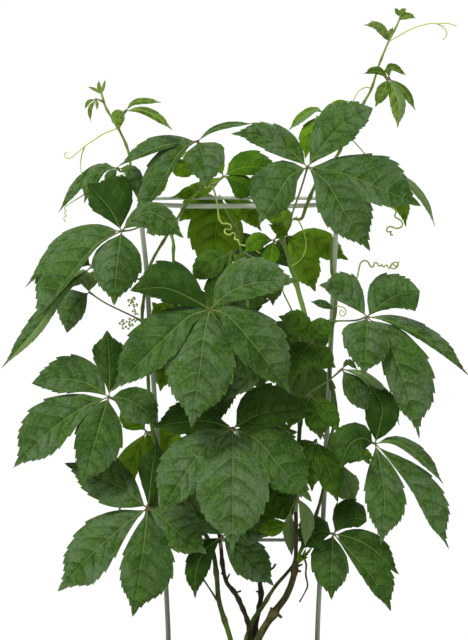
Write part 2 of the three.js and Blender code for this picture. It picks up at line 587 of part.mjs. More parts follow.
      { by: [[262, 510, 34]], tip: [258, 540, 32], wide: [16, 16] },
      { by: [[246, 492, 36]], tip: [232, 520, 34], wide: [15, 15] },
      { by: [[286, 470, 40]], tip: [308, 474, 38], wide: [15, 15] },
    ] },
  leaf_low_middle: { tone: "deep", hub: [222, 536, -26], stem: "stem_woody_left", joint: [220, 548], teeth: 4,
    blades: [
      { by: [[246, 556, -34]], tip: [274, 586, -38], wide: [18, 18] },
      { by: [[204, 552, -33], [196, 572, -38]], tip: [195, 599, -40], wide: [12, 12] },
      { by: [[210, 522, -26]], tip: [196, 508, -22], wide: [12, 12] },
      { by: [[246, 530, -30]], tip: [270, 536, -34], wide: [15, 15] },
    ] },
  leaf_back_left_middle: { tone: "fresh", hub: [146, 431, 48], stem: "stem_green_left", joint: [153, 437], teeth: 3,
    blades: [
      { by: [[134, 470, 46]], tip: [119, 510, 44], wide: [17, 17] },
      { by: [[150, 452, 44]], tip: [141, 478, 42], wide: [11, 11] },
      { by: [[168, 440, 46]], tip: [184, 452, 44], wide: [13, 13] },
      { by: [[134, 418, 50]], tip: [122, 402, 50], wide: [14, 14] },
    ] },
  leaf_back_left_upper: { tone: "fresh", hub: [170, 336, 40], stem: "stem_green_left", joint: [144.5, 338], teeth: 3,
    blades: [
      { by: [[165, 318, 40]], tip: [152, 302, 40], wide: [14, 14] },
      { by: [[166, 362, 36]], tip: [160, 392, 34], wide: [16, 16] },
      { by: [[192, 350, 38]], tip: [206, 378, 36], wide: [17, 17] },
      { by: [[192, 320, 42]], tip: [214, 310, 42], wide: [16, 16] },
    ] },
  leaf_rear_upper: { tone: "deep", hub: [216, 332, 84], stem: "stem_dark_middle", joint: [250, 345], teeth: 3, rear: 1,
    blades: [
      { by: [[190, 306, 88]], tip: [160, 300, 92], wide: [20, 20] },
      { by: [[240, 306, 88]], tip: [270, 300, 92], wide: [20, 20] },
      { by: [[184, 356, 92]], tip: [158, 386, 92], wide: [20, 20] },
      { by: [[216, 372, 96]], tip: [214, 416, 96], wide: [23, 23] },
      { by: [[244, 360, 92]], tip: [268, 392, 92], wide: [20, 20] },
    ] },
  leaf_rear_lower: { tone: "deep", hub: [240, 450, 80], stem: "stem_dark_middle", joint: [249.5, 462], teeth: 3, rear: 1,
    blades: [
      { by: [[212, 434, 84]], tip: [182, 432, 88], wide: [18, 18] },
      { by: [[266, 434, 84]], tip: [298, 432, 88], wide: [18, 18] },
      { by: [[216, 480, 88]], tip: [190, 508, 90], wide: [20, 20] },
      { by: [[242, 492, 92]], tip: [240, 536, 92], wide: [23, 23] },
      { by: [[268, 476, 88]], tip: [292, 502, 90], wide: [20, 20] },
    ] },
  leaf_rear_right: { tone: "deep", hub: [306, 356, 66], stem: "stem_woody_right", joint: [304, 366], teeth: 3, rear: 1,
    blades: [
      { by: [[286, 336, 68]], tip: [262, 330, 72], wide: [16, 16] },
      { by: [[318, 334, 68]], tip: [334, 318, 70], wide: [14, 14] },
      { by: [[292, 384, 72]], tip: [276, 410, 74], wide: [17, 17] },
      { by: [[318, 388, 72]], tip: [328, 424, 74], wide: [17, 17] },
    ] },
  leaf_rear_left: { tone: "deep", hub: [170, 470, 62], stem: "stem_green_left", joint: [175, 480], teeth: 3, rear: 1,
    blades: [
      { by: [[150, 452, 64]], tip: [128, 448, 66], wide: [15, 15] },
      { by: [[190, 456, 64]], tip: [212, 452, 66], wide: [15, 15] },
      { by: [[154, 500, 66]], tip: [142, 528, 68], wide: [17, 17] },
      { by: [[188, 500, 66]], tip: [204, 530, 68], wide: [17, 17] },
    ] },
  leaf_rear_top: { tone: "deep", hub: [268, 262, 70], stem: "stem_dark_middle", joint: [241, 252], teeth: 3, rear: 1,
    blades: [
      { by: [[246, 250, 74]], tip: [220, 250, 78], wide: [17, 17] },
      { by: [[290, 252, 74]], tip: [312, 256, 76], wide: [16, 16] },
      { by: [[252, 288, 76]], tip: [240, 318, 78], wide: [18, 18] },
      { by: [[276, 288, 76]], tip: [281, 312, 78], wide: [14, 14] },
    ] },
};

// Small unopened leaves that are one body with the shoot or stem they sit on.
const TIP_LEAVES = [
  { of: "shoot_left", base: [101.5, 94, -12], by: [95, 90, -14], tip: [90.4, 88.4, -16], width: 5 },
  { of: "shoot_left", base: [101.5, 94, -12], by: [99, 87, -12], tip: [98.8, 80, -13], width: 5 },
  { of: "shoot_left", base: [101.5, 94, -12], by: [105, 87, -12], tip: [105.5, 79, -12], width: 6 },
  { of: "shoot_right", base: [400.5, 16.5, -6], by: [397, 11, -7], tip: [394.8, 7.5, -8], width: 5 },
  { of: "shoot_right", base: [400.5, 16.5, -6], by: [403, 11, -7], tip: [406.4, 8.3, -8], width: 6 },
  { of: "shoot_right", base: [399.5, 20, -5.5], by: [408, 15.5, -8], tip: [416, 18.5, -10], width: 7 },
  { of: "shoot_right", base: [389, 41, -3], by: [377, 26, -6], tip: [363, 25, -10], width: 8 },
  { of: "shoot_right", base: [389, 41, -3], by: [382, 28, -5], tip: [370, 20, -8], width: 7 },
  { of: "shoot_right", base: [389, 41, -3], by: [384, 34, -8], tip: [376.5, 31.5, -10], width: 6 },
  { of: "shoot_right", base: [389, 41, -3], by: [390, 34, -4], tip: [393, 27, -6], width: 6 },
];

const TONES = {
  deep: { colour: 0x3d6127, roughness: 0.55, name: "leaf" },
  dim: { colour: 0x33551d, roughness: 0.55, name: "leaf" },
  fresh: { colour: 0x5b8a22, roughness: 0.55, name: "leaf_light" },
  young: { colour: 0x648f2a, roughness: 0.55, name: "young_growth" },
  greenStem: { colour: 0x547a2c, roughness: 0.6, name: "green_stem" },
  wood: { colour: 0x55462d, roughness: 0.8, name: "woody_stem" },
  trellis: { colour: 0x6f7f72, roughness: 0.45, name: "trellis_plastic" },
  pot: { colour: 0x3b3f3d, roughness: 0.55, name: "pot_plastic" },
  soil: { colour: 0x2f2519, roughness: 0.95, name: "soil" },
};

function stemCurve(name) {
  return new THREE.CatmullRomCurve3(path(STEMS[name].points), false, "centripetal");
}

// The spot of a stem that lies nearest to a photo position, with the stem's direction and radius there.
function spotOn(name, [x, y]) {
  const curve = stemCurve(name);
  const [startThick, endThick] = STEMS[name].thick;
  const tries = 400;
  let best = 0;
  let least = Infinity;
  for (let i = 0; i <= tries; i += 1) {
    const point = curve.getPointAt(i / tries);
    const miss = point.distanceTo(at(x, y, point.y));
    if (miss < least) {
      least = miss;
      best = i / tries;
    }
  }
  const thick = startThick + (endThick - startThick) * best;
  return { point: curve.getPointAt(best), along: curve.getTangentAt(best), radius: thick / 2 };
}

function leaf(name) {
  const { hub, stem, joint, blades, teeth, rear } = LEAVES[name];
  const lean = rear ? -LEAF_TILT : LEAF_TILT;
  const centre = at(...hub);
  const bodies = [];
  for (const { by, tip, wide, peak, tilt } of blades) {
    const rib = [centre.clone(), ...path(by), at(...tip)];
    rib[0].addScaledVector(rib[1].clone().sub(centre).normalize(), BLADE_START);
    bodies.push(blade({ rib, wide, tilt: tilt || lean, peak: peak || LEAF_PEAK, teeth }));
  }
  const { point, along, radius } = spotOn(stem, joint);
  const out = centre.clone().sub(point);
  out.addScaledVector(along, -out.dot(along)).normalize();
  const end = point.clone().addScaledVector(out, radius + GAP);
  const elbow = point.clone().addScaledVector(out, radius + GAP + STALK_ELBOW);
  const bow = new THREE.Vector3(0, rear ? -STALK_BOW : STALK_BOW, -STALK_SAG);
  const bend = centre.clone().lerp(elbow, STALK_BEND_AT).add(bow);
  bodies.push(rod([centre, bend, elbow, end], STALK_RADIUS, STALK_RADIUS * STALK_SWELL, STALK_SIDES, STALK_STEPS));
  const knob = new THREE.OctahedronGeometry(HUB_RADIUS);
  knob.translate(centre.x, centre.y, centre.z);
  bodies.push(solid(knob));
  return join(bodies);
}

function coil({ from, lead, start, end, turns, radius }) {
  const a = at(...start);
  const b = at(...end);
  const points = [at(...from), at(...lead)];
  for (let i = 0; i <= turns * COIL_POINTS; i += 1) {
    const angle = (2 * Math.PI * i) / COIL_POINTS;
    const spot = a.clone().lerp(b, i / (turns * COIL_POINTS));
    spot.y += radius * (Math.cos(angle) - 1);
    spot.z += radius * Math.sin(angle);
    points.push(spot);
  }
  return rod(points, TENDRIL_RADIUS * TENDRIL_FOOT, TENDRIL_RADIUS, TENDRIL_SIDES, turns * COIL_STEPS);
}

function stemPath(name) {
  const points = path(STEMS[name].points);
  if (name.startsWith("stem_")) {
    const foot = points[0].clone();
    points.unshift(foot.clone().setZ(SOIL_TOP - STEM_DEPTH_IN_SOIL));
  }
  return points;
}

function stem(name) {
  const { thick, steps, twigs } = STEMS[name];
  const bodies = [rod(stemPath(name), thick[0] / 2, thick[1] / 2, STEM_SIDES, steps)];
  for (const twig of twigs) {
    const points = path([twig.from, ...(twig.by || []), twig.to]);
    bodies.push(rod(points, twig.thick / 2, (twig.thick / 2) * TWIG_TAPER, TWIG_SIDES, points.length));
  }
  for (const { of, points, steps: count } of TENDRILS) {
    if (of === name) {
      bodies.push(rod(path(points), TENDRIL_RADIUS * TENDRIL_FOOT, TENDRIL_RADIUS, TENDRIL_SIDES, count));
    }
  }
  for (const one of COILS.filter(({ of }) => of === name)) {
    bodies.push(coil(one));
  }
  for (const { of, base, by, tip, width } of TIP_LEAVES) {
    if (of === name) {
      const wide = [width / 2, width / 2];
      bodies.push(blade({ rib: path([base, by, tip]), wide, tilt: LEAF_TILT, peak: LEAF_PEAK, teeth: 3 }));
    }
  }
  return join(bodies);
}

// Trellis: legs stand in the soil, the bars run from leg to leg.
const LEFT_LEG = [[168.5, 664, 28], [168, 627, 28], [154, 390, 28], [148.5, 305, 28], [146.4, 268, 28],
  [142.5, 232, 28], [140, 200, 28]];
const RIGHT_LEG = [[317, 664, 28], [317.6, 628, 28], [324, 500, 28], [331, 340, 28], [336, 232, 28],
  [338, 200, 28]];
const TOP_BAR_FRONT = [[142.5, 204, 24.6], [190, 206, 17], [240, 206, 15], [290, 206, 17], [335.8, 204, 24.6]];
const TOP_BAR_BACK = [[142.2, 199, 30.6], [190, 198, 40], [240, 198, 42], [290, 198, 40], [336.0, 199, 30.6]];
const LOW_BAR = [[166.2, 540, 28], [205, 540, 28], [242, 540, 28], [282, 540, 28], [319.1, 540, 28]];

function leg(points) {
  const spots = path(points);
  const foot = spots[0].clone();
  spots.unshift(foot.clone().setZ(SOIL_TOP - LEG_DEPTH_IN_SOIL));
  return rod(spots, LEG_RADIUS, LEG_RADIUS, LEG_SIDES, LEG_STEPS);
}

function bar(points, radius) {
  return rod(path(points), radius, radius, BAR_SIDES, BAR_STEPS);
}

function pot() {
  const slope = (POT_TOP_RADIUS - RIM_WIDTH - POT_FOOT_RADIUS) / POT_HEIGHT;
  const wallAt = (z) => POT_FOOT_RADIUS + slope * z;
  const profile = [
    [0, 0],
    [wallAt(0) - FOOT_ROUND, 0],
    [wallAt(FOOT_ROUND), FOOT_ROUND],
    [wallAt(POT_HEIGHT - RIM_HEIGHT), POT_HEIGHT - RIM_HEIGHT],
    [POT_TOP_RADIUS, POT_HEIGHT - RIM_HEIGHT + RIM_WIDTH],
    [POT_TOP_RADIUS, POT_HEIGHT - LIP_ROUND],
    [POT_TOP_RADIUS - LIP_ROUND, POT_HEIGHT],
    [wallAt(POT_HEIGHT) - POT_WALL, POT_HEIGHT],
    [wallAt(POT_FLOOR) - POT_WALL, POT_FLOOR],
    [0, POT_FLOOR],
  ];
  const shell = new THREE.LatheGeometry(profile.map(([r, z]) => new THREE.Vector2(r, z)), ROUND_SIDES);
  shell.rotateX(Math.PI / 2);
  let body = upright(shell);
  for (let i = 0; i < DRAIN_COUNT; i += 1) {
    const angle = (2 * Math.PI * (i + 0.5)) / DRAIN_COUNT;
    const hole = new THREE.CylinderGeometry(DRAIN_RADIUS, DRAIN_RADIUS, POT_FLOOR * 4, DRAIN_SIDES);
    hole.rotateX(Math.PI / 2);
    hole.translate(DRAIN_CIRCLE * Math.cos(angle), DRAIN_CIRCLE * Math.sin(angle), POT_FLOOR / 2);
    body = body.subtract(solid(hole));
  }
  return body;
}

function upright(geometry) {
  const made = solid(geometry);
  if (made.volume() > 0) {
    return made;
  }
  const flipped = geometry.clone();
  const index = Array.from(flipped.index.array);
  for (let i = 0; i < index.length; i += 3) {
    [index[i + 1], index[i + 2]] = [index[i + 2], index[i + 1]];
  }
  flipped.setIndex(index);
  return solid(flipped);
}

function soil() {
  const slope = (POT_TOP_RADIUS - RIM_WIDTH - POT_FOOT_RADIUS) / POT_HEIGHT;
  const inner = (z) => POT_FOOT_RADIUS + slope * z - POT_WALL - GAP;
  const low = POT_FLOOR + GAP;
  const profile = [
    [0, low],
    [inner(low), low],
    [inner(SOIL_TOP - SOIL_FALL_AT_WALL), SOIL_TOP - SOIL_FALL_AT_WALL],
    [inner(SOIL_TOP) * SOIL_LEVEL_SHARE, SOIL_TOP],
    [0, SOIL_TOP],
  ];
  const fill = new THREE.LatheGeometry(profile.map(([r, z]) => new THREE.Vector2(r, z)), ROUND_SIDES);
  fill.rotateX(Math.PI / 2);
  let body = upright(fill);
  for (const name of Object.keys(STEMS).filter((key) => key.startsWith("stem_"))) {
    const radius = STEMS[name].thick[0] / 2 + GAP;
    body = body.subtract(soilHole(stemPath(name).slice(0, 2), radius, STEM_HOLE_SIDES));
  }
  for (const points of [LEFT_LEG, RIGHT_LEG]) {
    const foot = at(...points[0]);
    const deep = foot.clone().setZ(SOIL_TOP - LEG_DEPTH_IN_SOIL);
    body = body.subtract(soilHole([deep, foot], LEG_RADIUS + GAP, LEG_HOLE_SIDES));
  }
  return body;
}

function soilHole([deep, foot], radius, sides) {
  const height = SOIL_TOP + HOLE_OVERRUN - deep.z;
  const hole = new THREE.CylinderGeometry(radius * HOLE_TOP_FLARE, radius * HOLE_FOOT_FLARE, height, sides);
  hole.rotateX(Math.PI / 2);
  hole.translate(foot.x, foot.y, deep.z - GAP + height / 2);
  return solid(hole);
}

const plant = new THREE.Group();

function add(name, body, tone) {
  const { colour, roughness, name: slot } = TONES[tone];
  const material = new THREE.MeshStandardMaterial({ color: colour, roughness, metalness: 0 });
  material.name = slot;
  const mesh = new THREE.Mesh(geometryOf(body), material);
  mesh.name = name;
  plant.add(mesh);
}

add("pot", pot(), "pot");
add("soil", soil(), "soil");
add("trellis_leg_left", leg(LEFT_LEG), "trellis");
add("trellis_leg_right", leg(RIGHT_LEG), "trellis");
add("trellis_top_bar_front", bar(TOP_BAR_FRONT, TOP_BAR_RADIUS), "trellis");
add("trellis_top_bar_back", bar(TOP_BAR_BACK, THIN_BAR_RADIUS), "trellis");
add("trellis_low_bar", bar(LOW_BAR, THIN_BAR_RADIUS), "trellis");
for (const name of Object.keys(STEMS)) {
  add(name, stem(name), STEMS[name].tone);
}
for (const name of Object.keys(LEAVES)) {
  add(name, leaf(name), LEAVES[name].tone);
}

export default plant;
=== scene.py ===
"""A potted climbing vine: palmate leaves on green and woody stems, tied to a slim plastic rod trellis.

Metres. The pot stands on z = 0 with its axis at x = y = 0, and the front of the plant faces -Y.
"""
import math
import random
from bisect import bisect_right

import bpy
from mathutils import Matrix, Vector, noise


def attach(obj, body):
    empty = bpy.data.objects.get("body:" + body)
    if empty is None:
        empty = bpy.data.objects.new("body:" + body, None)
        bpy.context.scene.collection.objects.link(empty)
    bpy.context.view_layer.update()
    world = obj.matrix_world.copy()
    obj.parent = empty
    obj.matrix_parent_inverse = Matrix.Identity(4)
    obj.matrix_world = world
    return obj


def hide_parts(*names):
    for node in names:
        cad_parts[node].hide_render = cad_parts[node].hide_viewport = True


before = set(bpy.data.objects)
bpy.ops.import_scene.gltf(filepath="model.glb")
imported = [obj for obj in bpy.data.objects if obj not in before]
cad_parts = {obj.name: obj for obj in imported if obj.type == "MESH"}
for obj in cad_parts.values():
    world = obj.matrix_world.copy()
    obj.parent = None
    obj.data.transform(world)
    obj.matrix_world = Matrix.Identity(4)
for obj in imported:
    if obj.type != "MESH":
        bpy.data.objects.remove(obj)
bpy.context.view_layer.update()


# ---------------------------------------------------------------------------------------------
# Camera. It looks level at the middle of the foliage from 2.4 m in front of the pot's axis, where
# one millimetre in the upright plane through that axis is one step of the 468 x 640 picture.
MM = 0.001
EYE_SIDE = -6
EYE_DISTANCE = 2400
EYE_HEIGHT = 494
SENSOR_WIDTH = 36
LENS = 135

eye = bpy.data.objects.new("eye", bpy.data.cameras.new("eye"))
eye.data.sensor_width = SENSOR_WIDTH
eye.data.lens = LENS
eye.location = (EYE_SIDE * MM, -EYE_DISTANCE * MM, EYE_HEIGHT * MM)
eye.rotation_euler = (math.radians(90), 0, 0)
bpy.context.scene.collection.objects.link(eye)
bpy.context.scene.camera = eye


# ---------------------------------------------------------------------------------------------
# Studio. A plain pale floor in a room that glows white level with the plant and is dimmer above
# and below, one large soft lamp high on the left in front, and a weaker one high behind.
FLOOR_RADIUS = 1250
FLOOR_SIDES = 128
ROOM_GLOW = 1.04
DIMMER_ABOVE = 0.45
DIMMER_BELOW = 0.5
LAMP_AIM = Vector((0, 0, 0.45))
LAMPS = {
    "key_lamp": dict(place=(-1.1, -1.7, 2.6), power=105, width=0.9),
    "back_lamp": dict(place=(0.9, 1.9, 2.1), power=45, width=1.0),
}


def srgb(red, green, blue):
    """A colour given as it looks, 0 to 255 a channel, as the shader's linear values."""
    linear = [
        part / 12.92 if part <= 0.04045 else ((part + 0.055) / 1.055) ** 2.4
        for part in (red / 255, green / 255, blue / 255)
    ]
    return (*linear, 1.0)


class Wire:
    """One output of a node. Arithmetic on it adds Math nodes to the same tree."""

    def __init__(self, nodes, socket):
        self.nodes = nodes
        self.socket = socket

    def maths(self, operation, *terms):
        return self.nodes.add("ShaderNodeMath", {"operation": operation}, dict(enumerate(terms)))

    def __add__(self, other):
        return self.maths("ADD", self, other)

    __radd__ = __add__

    def __sub__(self, other):
        return self.maths("SUBTRACT", self, other)

    def __rsub__(self, other):
        return self.maths("SUBTRACT", other, self)

    def __mul__(self, other):
        return self.maths("MULTIPLY", self, other)

    __rmul__ = __mul__

    def __abs__(self):
        return self.maths("ABSOLUTE", self)

    def fraction(self):
        return self.maths("FRACT", self)

    def ease(self, low, high):
        """0 up to low, 1 from high on, smooth between."""
        limits = {"Value": self, "From Min": low, "From Max": high}
        return self.nodes.add("ShaderNodeMapRange", {"interpolation_type": "SMOOTHSTEP"}, limits)

    def twin(self, output):
        """Another output of the same node."""
        return Wire(self.nodes, self.socket.node.outputs[output])


class Nodes:
    """Adds nodes to a tree: the type, its settings, then the values or links of its sockets."""

    def __init__(self, tree):
        self.tree = tree
        tree.nodes.clear()

    def add(self, kind, settings=None, values=None, output=0):
        node = self.tree.nodes.new(kind)
        for key, value in (settings or {}).items():
            setattr(node, key, value)
        for key, value in (values or {}).items():
            if isinstance(value, Wire):
                self.tree.links.new(value.socket, node.inputs[key])
            else:
                node.inputs[key].default_value = value
        return Wire(self, node.outputs[output]) if node.outputs else None

    def mix(self, factor, first, second):
        return self.add("ShaderNodeMix", {"data_type": "RGBA"}, {0: factor, 6: first, 7: second}, output=2)

    def place(self, stretch):
        """The place in the object, scaled along its three axes."""
        spot = self.add("ShaderNodeTexCoord", output="Object")
        return self.add("ShaderNodeMapping", values={"Vector": spot, "Scale": stretch})

    def noise(self, scale, detail=3.0, roughness=0.55, stretch=(1, 1, 1)):
        sizes = {"Vector": self.place(stretch), "Scale": scale, "Detail": detail, "Roughness": roughness}
        return self.add("ShaderNodeTexNoise", values=sizes)

    def cells(self, scale, feature="F1", stretch=(1, 1, 1)):
        """How far each place lies from its cell's centre or edge."""
        sizes = {"Vector": self.place(stretch), "Scale": scale}
        return self.add("ShaderNodeTexVoronoi", {"feature": feature}, sizes, output="Distance")

    def mark(self, name):
        """A number that the mesh keeps at each of its points."""
        return self.add("ShaderNodeAttribute", {"attribute_name": name}, output="Fac")

    def bump(self, height, depth):
        return self.add("ShaderNodeBump", values={"Height": height, "Distance": depth})


def finish(name, look):
    """A material whose main shader gets the values and wires that look(nodes) gives."""
    material = bpy.data.materials.new(name)
    material.use_nodes = True
    nodes = Nodes(material.node_tree)
    shader = nodes.add("ShaderNodeBsdfPrincipled", values=look(nodes))
    nodes.add("ShaderNodeOutputMaterial", values={"Surface": shader})
    return material


def put(name, mesh, *materials):
    """A new object at the origin for a finished mesh."""
    for material in materials:
        mesh.materials.append(material)
    piece = bpy.data.objects.new(name, mesh)
    bpy.context.scene.collection.objects.link(piece)
    return piece


def circle(radius, height, sides, centre=(0, 0)):
    """Points round a level circle, given in mm."""
    points = []
    for i in range(sides):
        turn = math.tau * i / sides
        x, y = centre[0] + radius * math.cos(turn), centre[1] + radius * math.sin(turn)
        points.append((x * MM, y * MM, height * MM))
    return points


def floor_look(nodes):
    patch = nodes.noise(0.8)
    return {
        "Base Color": nodes.mix(patch, srgb(240, 240, 238), srgb(247, 247, 246)),
        "Roughness": 0.9,
        "Specular IOR Level": 0.2,
    }


floor_mesh = bpy.data.meshes.new("studio_floor")
floor_mesh.from_pydata(circle(FLOOR_RADIUS, 0, FLOOR_SIDES), [], [list(range(FLOOR_SIDES))])
put("studio_floor", floor_mesh, finish("studio_floor", floor_look))

sky = bpy.data.worlds.new("studio")
sky.use_nodes = True
sky_nodes = Nodes(sky.node_tree)
sky_up = sky_nodes.add("ShaderNodeSeparateXYZ", values={
    0: sky_nodes.add("ShaderNodeTexCoord", output="Generated"),
}, output="Z")
sky_light = ROOM_GLOW - sky_up.ease(0.12, 0.4) * DIMMER_ABOVE - sky_up.ease(-0.12, -0.4) * DIMMER_BELOW
sky_glow = sky_nodes.add("ShaderNodeBackground", values={"Color": (1, 1, 1, 1), "Strength": sky_light})
sky_nodes.add("ShaderNodeOutputWorld", values={"Surface": sky_glow})
bpy.context.scene.world = sky
bpy.context.scene.view_settings.view_transform = "Standard"

for lamp_name, plan in LAMPS.items():
    lamp = bpy.data.objects.new(lamp_name, bpy.data.lights.new(lamp_name, "AREA"))
    lamp.data.energy = plan["power"]
    lamp.data.size = plan["width"]
    lamp.location = plan["place"]
    lamp.rotation_euler = (Vector(plan["place"]) - LAMP_AIM).to_track_quat("Z", "Y").to_euler()
    bpy.context.scene.collection.objects.link(lamp)


# ---------------------------------------------------------------------------------------------
# Pot. A plain nursery pot, blow-moulded in dark grey-green plastic with a rolled rim and six
# drainage holes round the middle of its floor. It stands on its own foot and carries all the rest.
# Sizes are in millimetres.
POT_SIDES = 120
POT_HEIGHT = 158
POT_FOOT = 76
POT_TOP = 102
RIM_WIDTH = 3.2
RIM_HEIGHT = 16
POT_WALL = 2.4
POT_FLOOR = 3
DRAINS = 6
DRAIN_RADIUS = 5
DRAIN_CIRCLE = 50
DRAIN_SIDES = 24
DRAIN_CUT = (-6, 9)
CREASE_ANGLE = math.radians(40)


def pot_wall(z):
    """The radius of the pot's outside at a height."""
    return POT_FOOT + (POT_TOP - RIM_WIDTH - POT_FOOT) * z / POT_HEIGHT


def turned(name, profile, sides):
    """A closed body turned from (radius, height) points that start and end on the axis, in mm."""
    points = [(0, 0, profile[0][1] * MM), (0, 0, profile[-1][1] * MM)]
    faces = []
    rings = profile[1:-1]
    for radius, height in rings:
        points += circle(radius, height, sides)
    for i in range(sides):
        j = (i + 1) % sides
        faces.append((0, 2 + j, 2 + i))
        for row in range(len(rings) - 1):
            low = 2 + row * sides
            faces.append((low + i, low + j, low + sides + j, low + sides + i))
        last = 2 + (len(rings) - 1) * sides
        faces.append((1, last + i, last + j))
    mesh = bpy.data.meshes.new(name)
    mesh.from_pydata(points, [], faces)
    return mesh


def settle(piece):
    """Makes a piece's evaluated shape its plain mesh and takes its modifiers off."""
    shaped = piece.evaluated_get(bpy.context.evaluated_depsgraph_get())
    mesh = bpy.data.meshes.new_from_object(shaped)
    piece.modifiers.clear()
    piece.data = mesh


def smooth(mesh):
    mesh.polygons.foreach_set("use_smooth", [True] * len(mesh.polygons))


def pot_look(nodes):
    clouds = nodes.noise(14)
    grain = nodes.noise(900, detail=2)
    scuffs = nodes.noise(60, detail=6, stretch=(1, 1, 0.2)).ease(0.56, 0.7)
    tone = nodes.mix(clouds, srgb(52, 57, 54), srgb(62, 68, 64))
    return {
        "Base Color": nodes.mix(scuffs * 0.35, tone, srgb(96, 100, 94)),
        "Roughness": 0.42 + clouds * 0.16,
        "Normal": nodes.bump(grain, 0.00012),
    }


pot_profile = [(0, 1.2), (38, 1.2), (42, 0.3), (POT_FOOT - 4, 0), (POT_FOOT - 2, 0.4)]
pot_profile += [(pot_wall(2) - 0.7, 1.2)]
pot_profile += [(pot_wall(z), z) for z in (3, 5, 40, 80, 120, 136, POT_HEIGHT - RIM_HEIGHT - 0.6)]
pot_profile += [
    (pot_wall(142) + 0.5, 142.2), (POT_TOP - 0.8, 144.2), (POT_TOP - 0.15, 145.2), (POT_TOP, 146.5),
    (POT_TOP, 155.8), (POT_TOP - 0.3, 157.1), (POT_TOP - 1, 157.8), (POT_TOP - 2, POT_HEIGHT),
    (pot_wall(158) - 1.6, 157.8), (pot_wall(157) - POT_WALL, 156.8),
]
pot_profile += [(pot_wall(z) - POT_WALL, z) for z in (154, 120, 60, POT_FLOOR + 2)]
pot_profile += [(pot_wall(3) - POT_WALL - 2, POT_FLOOR), (0, POT_FLOOR)]
pot = put("pot_moulded", turned("pot_moulded", pot_profile, POT_SIDES), finish("pot_plastic", pot_look))

drain_points = []
drain_faces = []
for i in range(DRAINS):
    turn = math.tau * (i + 0.5) / DRAINS
    centre = (DRAIN_CIRCLE * math.cos(turn), DRAIN_CIRCLE * math.sin(turn))
    low = list(range(len(drain_points), len(drain_points) + DRAIN_SIDES))
    for height in DRAIN_CUT:
        drain_points += circle(DRAIN_RADIUS, height, DRAIN_SIDES, centre)
    drain_faces += [low[::-1], [k + DRAIN_SIDES for k in low]]
    drain_faces += [[j, k, k + DRAIN_SIDES, j + DRAIN_SIDES] for j, k in zip(low, low[1:] + low[:1])]
drain_mesh = bpy.data.meshes.new("drain_cutters")
drain_mesh.from_pydata(drain_points, [], drain_faces)
drains = put("drain_cutters", drain_mesh)
cut = pot.modifiers.new("drains", "BOOLEAN")
cut.object = drains
cut.solver = "EXACT"
settle(pot)
bpy.data.objects.remove(drains)
smooth(pot.data)
pot.data.set_sharp_from_angle(angle=CREASE_ANGLE)
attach(pot, "root")
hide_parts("pot")


# ---------------------------------------------------------------------------------------------
# Soil. Dark potting soil fills the pot to just under its rim: one body with an uneven crumbly
# top, on which loose crumbs and bark bits lie. Stems and trellis legs stand in it.
SOIL_TOP = 150
SOIL_SIDES = 110
SOIL_RINGS = 42
SOIL_LEVEL = SOIL_TOP - 0.8
LEVEL_SHARE = 0.6
SOIL_FALL = 3
SOIL_LIMIT = 0.152
SOIL_LUMPS = ((1.5, 0.05, 3), (0.8, 0.16, 9))
SOIL_ROOM = 0.3
CRUMBS = dict(per_square_metre=62000, smallest=0.0007, largest=0.0026, seed=4)
CRUMB_SLOPE = 0.6
CRUMB_DENT_SCALE = 1.1
CRUMB_DENT_DEPTH = 1.7
CRUMB_SQUASH = ((0.6, 0.6, 0.35), (1.3, 1.0, 0.8))
CRUMB_TURN = ((-0.5, -0.5, 0), (0.5, 0.5, math.tau))


def soil_look(nodes):
    clods = nodes.noise(90, detail=6)
    damp = nodes.noise(24)
    tone = nodes.mix(clods.ease(0.3, 0.72), srgb(24, 17, 11), srgb(74, 54, 36))
    return {
        "Base Color": nodes.mix(damp.ease(0.45, 0.7) * 0.5, tone, srgb(34, 26, 18)),
        "Roughness": 0.94,
        "Specular IOR Level": 0.25,
        "Normal": nodes.bump(nodes.noise(420, detail=6), 0.0012),
    }


def crumb_look(nodes):
    kind = nodes.noise(130, detail=1)
    grain = nodes.noise(700, detail=4)
    tone = nodes.mix(kind.ease(0.35, 0.65), srgb(38, 27, 18), srgb(92, 66, 42))
    return {
        "Base Color": nodes.mix(grain * 0.5, tone, srgb(22, 15, 10)),
        "Roughness": 0.92,
        "Specular IOR Level": 0.25,
        "Normal": nodes.bump(grain, 0.0004),
    }


def soil_height(x, y):
    """The soil's top in mm over a place: level in the middle, a little lower along the wall."""
    share = math.hypot(x, y) / pot_wall(SOIL_TOP)
    fall = SOIL_FALL * max(0, (share - LEVEL_SHARE) / (1 - LEVEL_SHARE)) ** 1.5
    lumps = sum(size * noise.noise(Vector((x, y, layer)) * pace) for size, pace, layer in SOIL_LUMPS)
    return SOIL_LEVEL - fall + lumps


def gn_group(name, inputs):
    """An empty Geometry Nodes tree with one geometry in, one out and the named inputs."""
    tree = bpy.data.node_groups.new(name, "GeometryNodeTree")
    tree.interface.new_socket("Base", in_out="INPUT", socket_type="NodeSocketGeometry")
    for label, kind in inputs.items():
        tree.interface.new_socket(label, in_out="INPUT", socket_type=kind)
    tree.interface.new_socket("Result", in_out="OUTPUT", socket_type="NodeSocketGeometry")
    return tree, Nodes(tree)


def gn_run(piece, tree, **values):
    """Runs a tree on a piece with its inputs set by their sockets, and keeps the plain mesh."""
    modifier = piece.modifiers.new(tree.name, "NODES")
    modifier.node_group = tree
    for item in tree.interface.items_tree:
        key = item.name.replace(" ", "_").lower()
        if item.in_out == "INPUT" and key in values:
            modifier[item.identifier] = values[key]
    settle(piece)


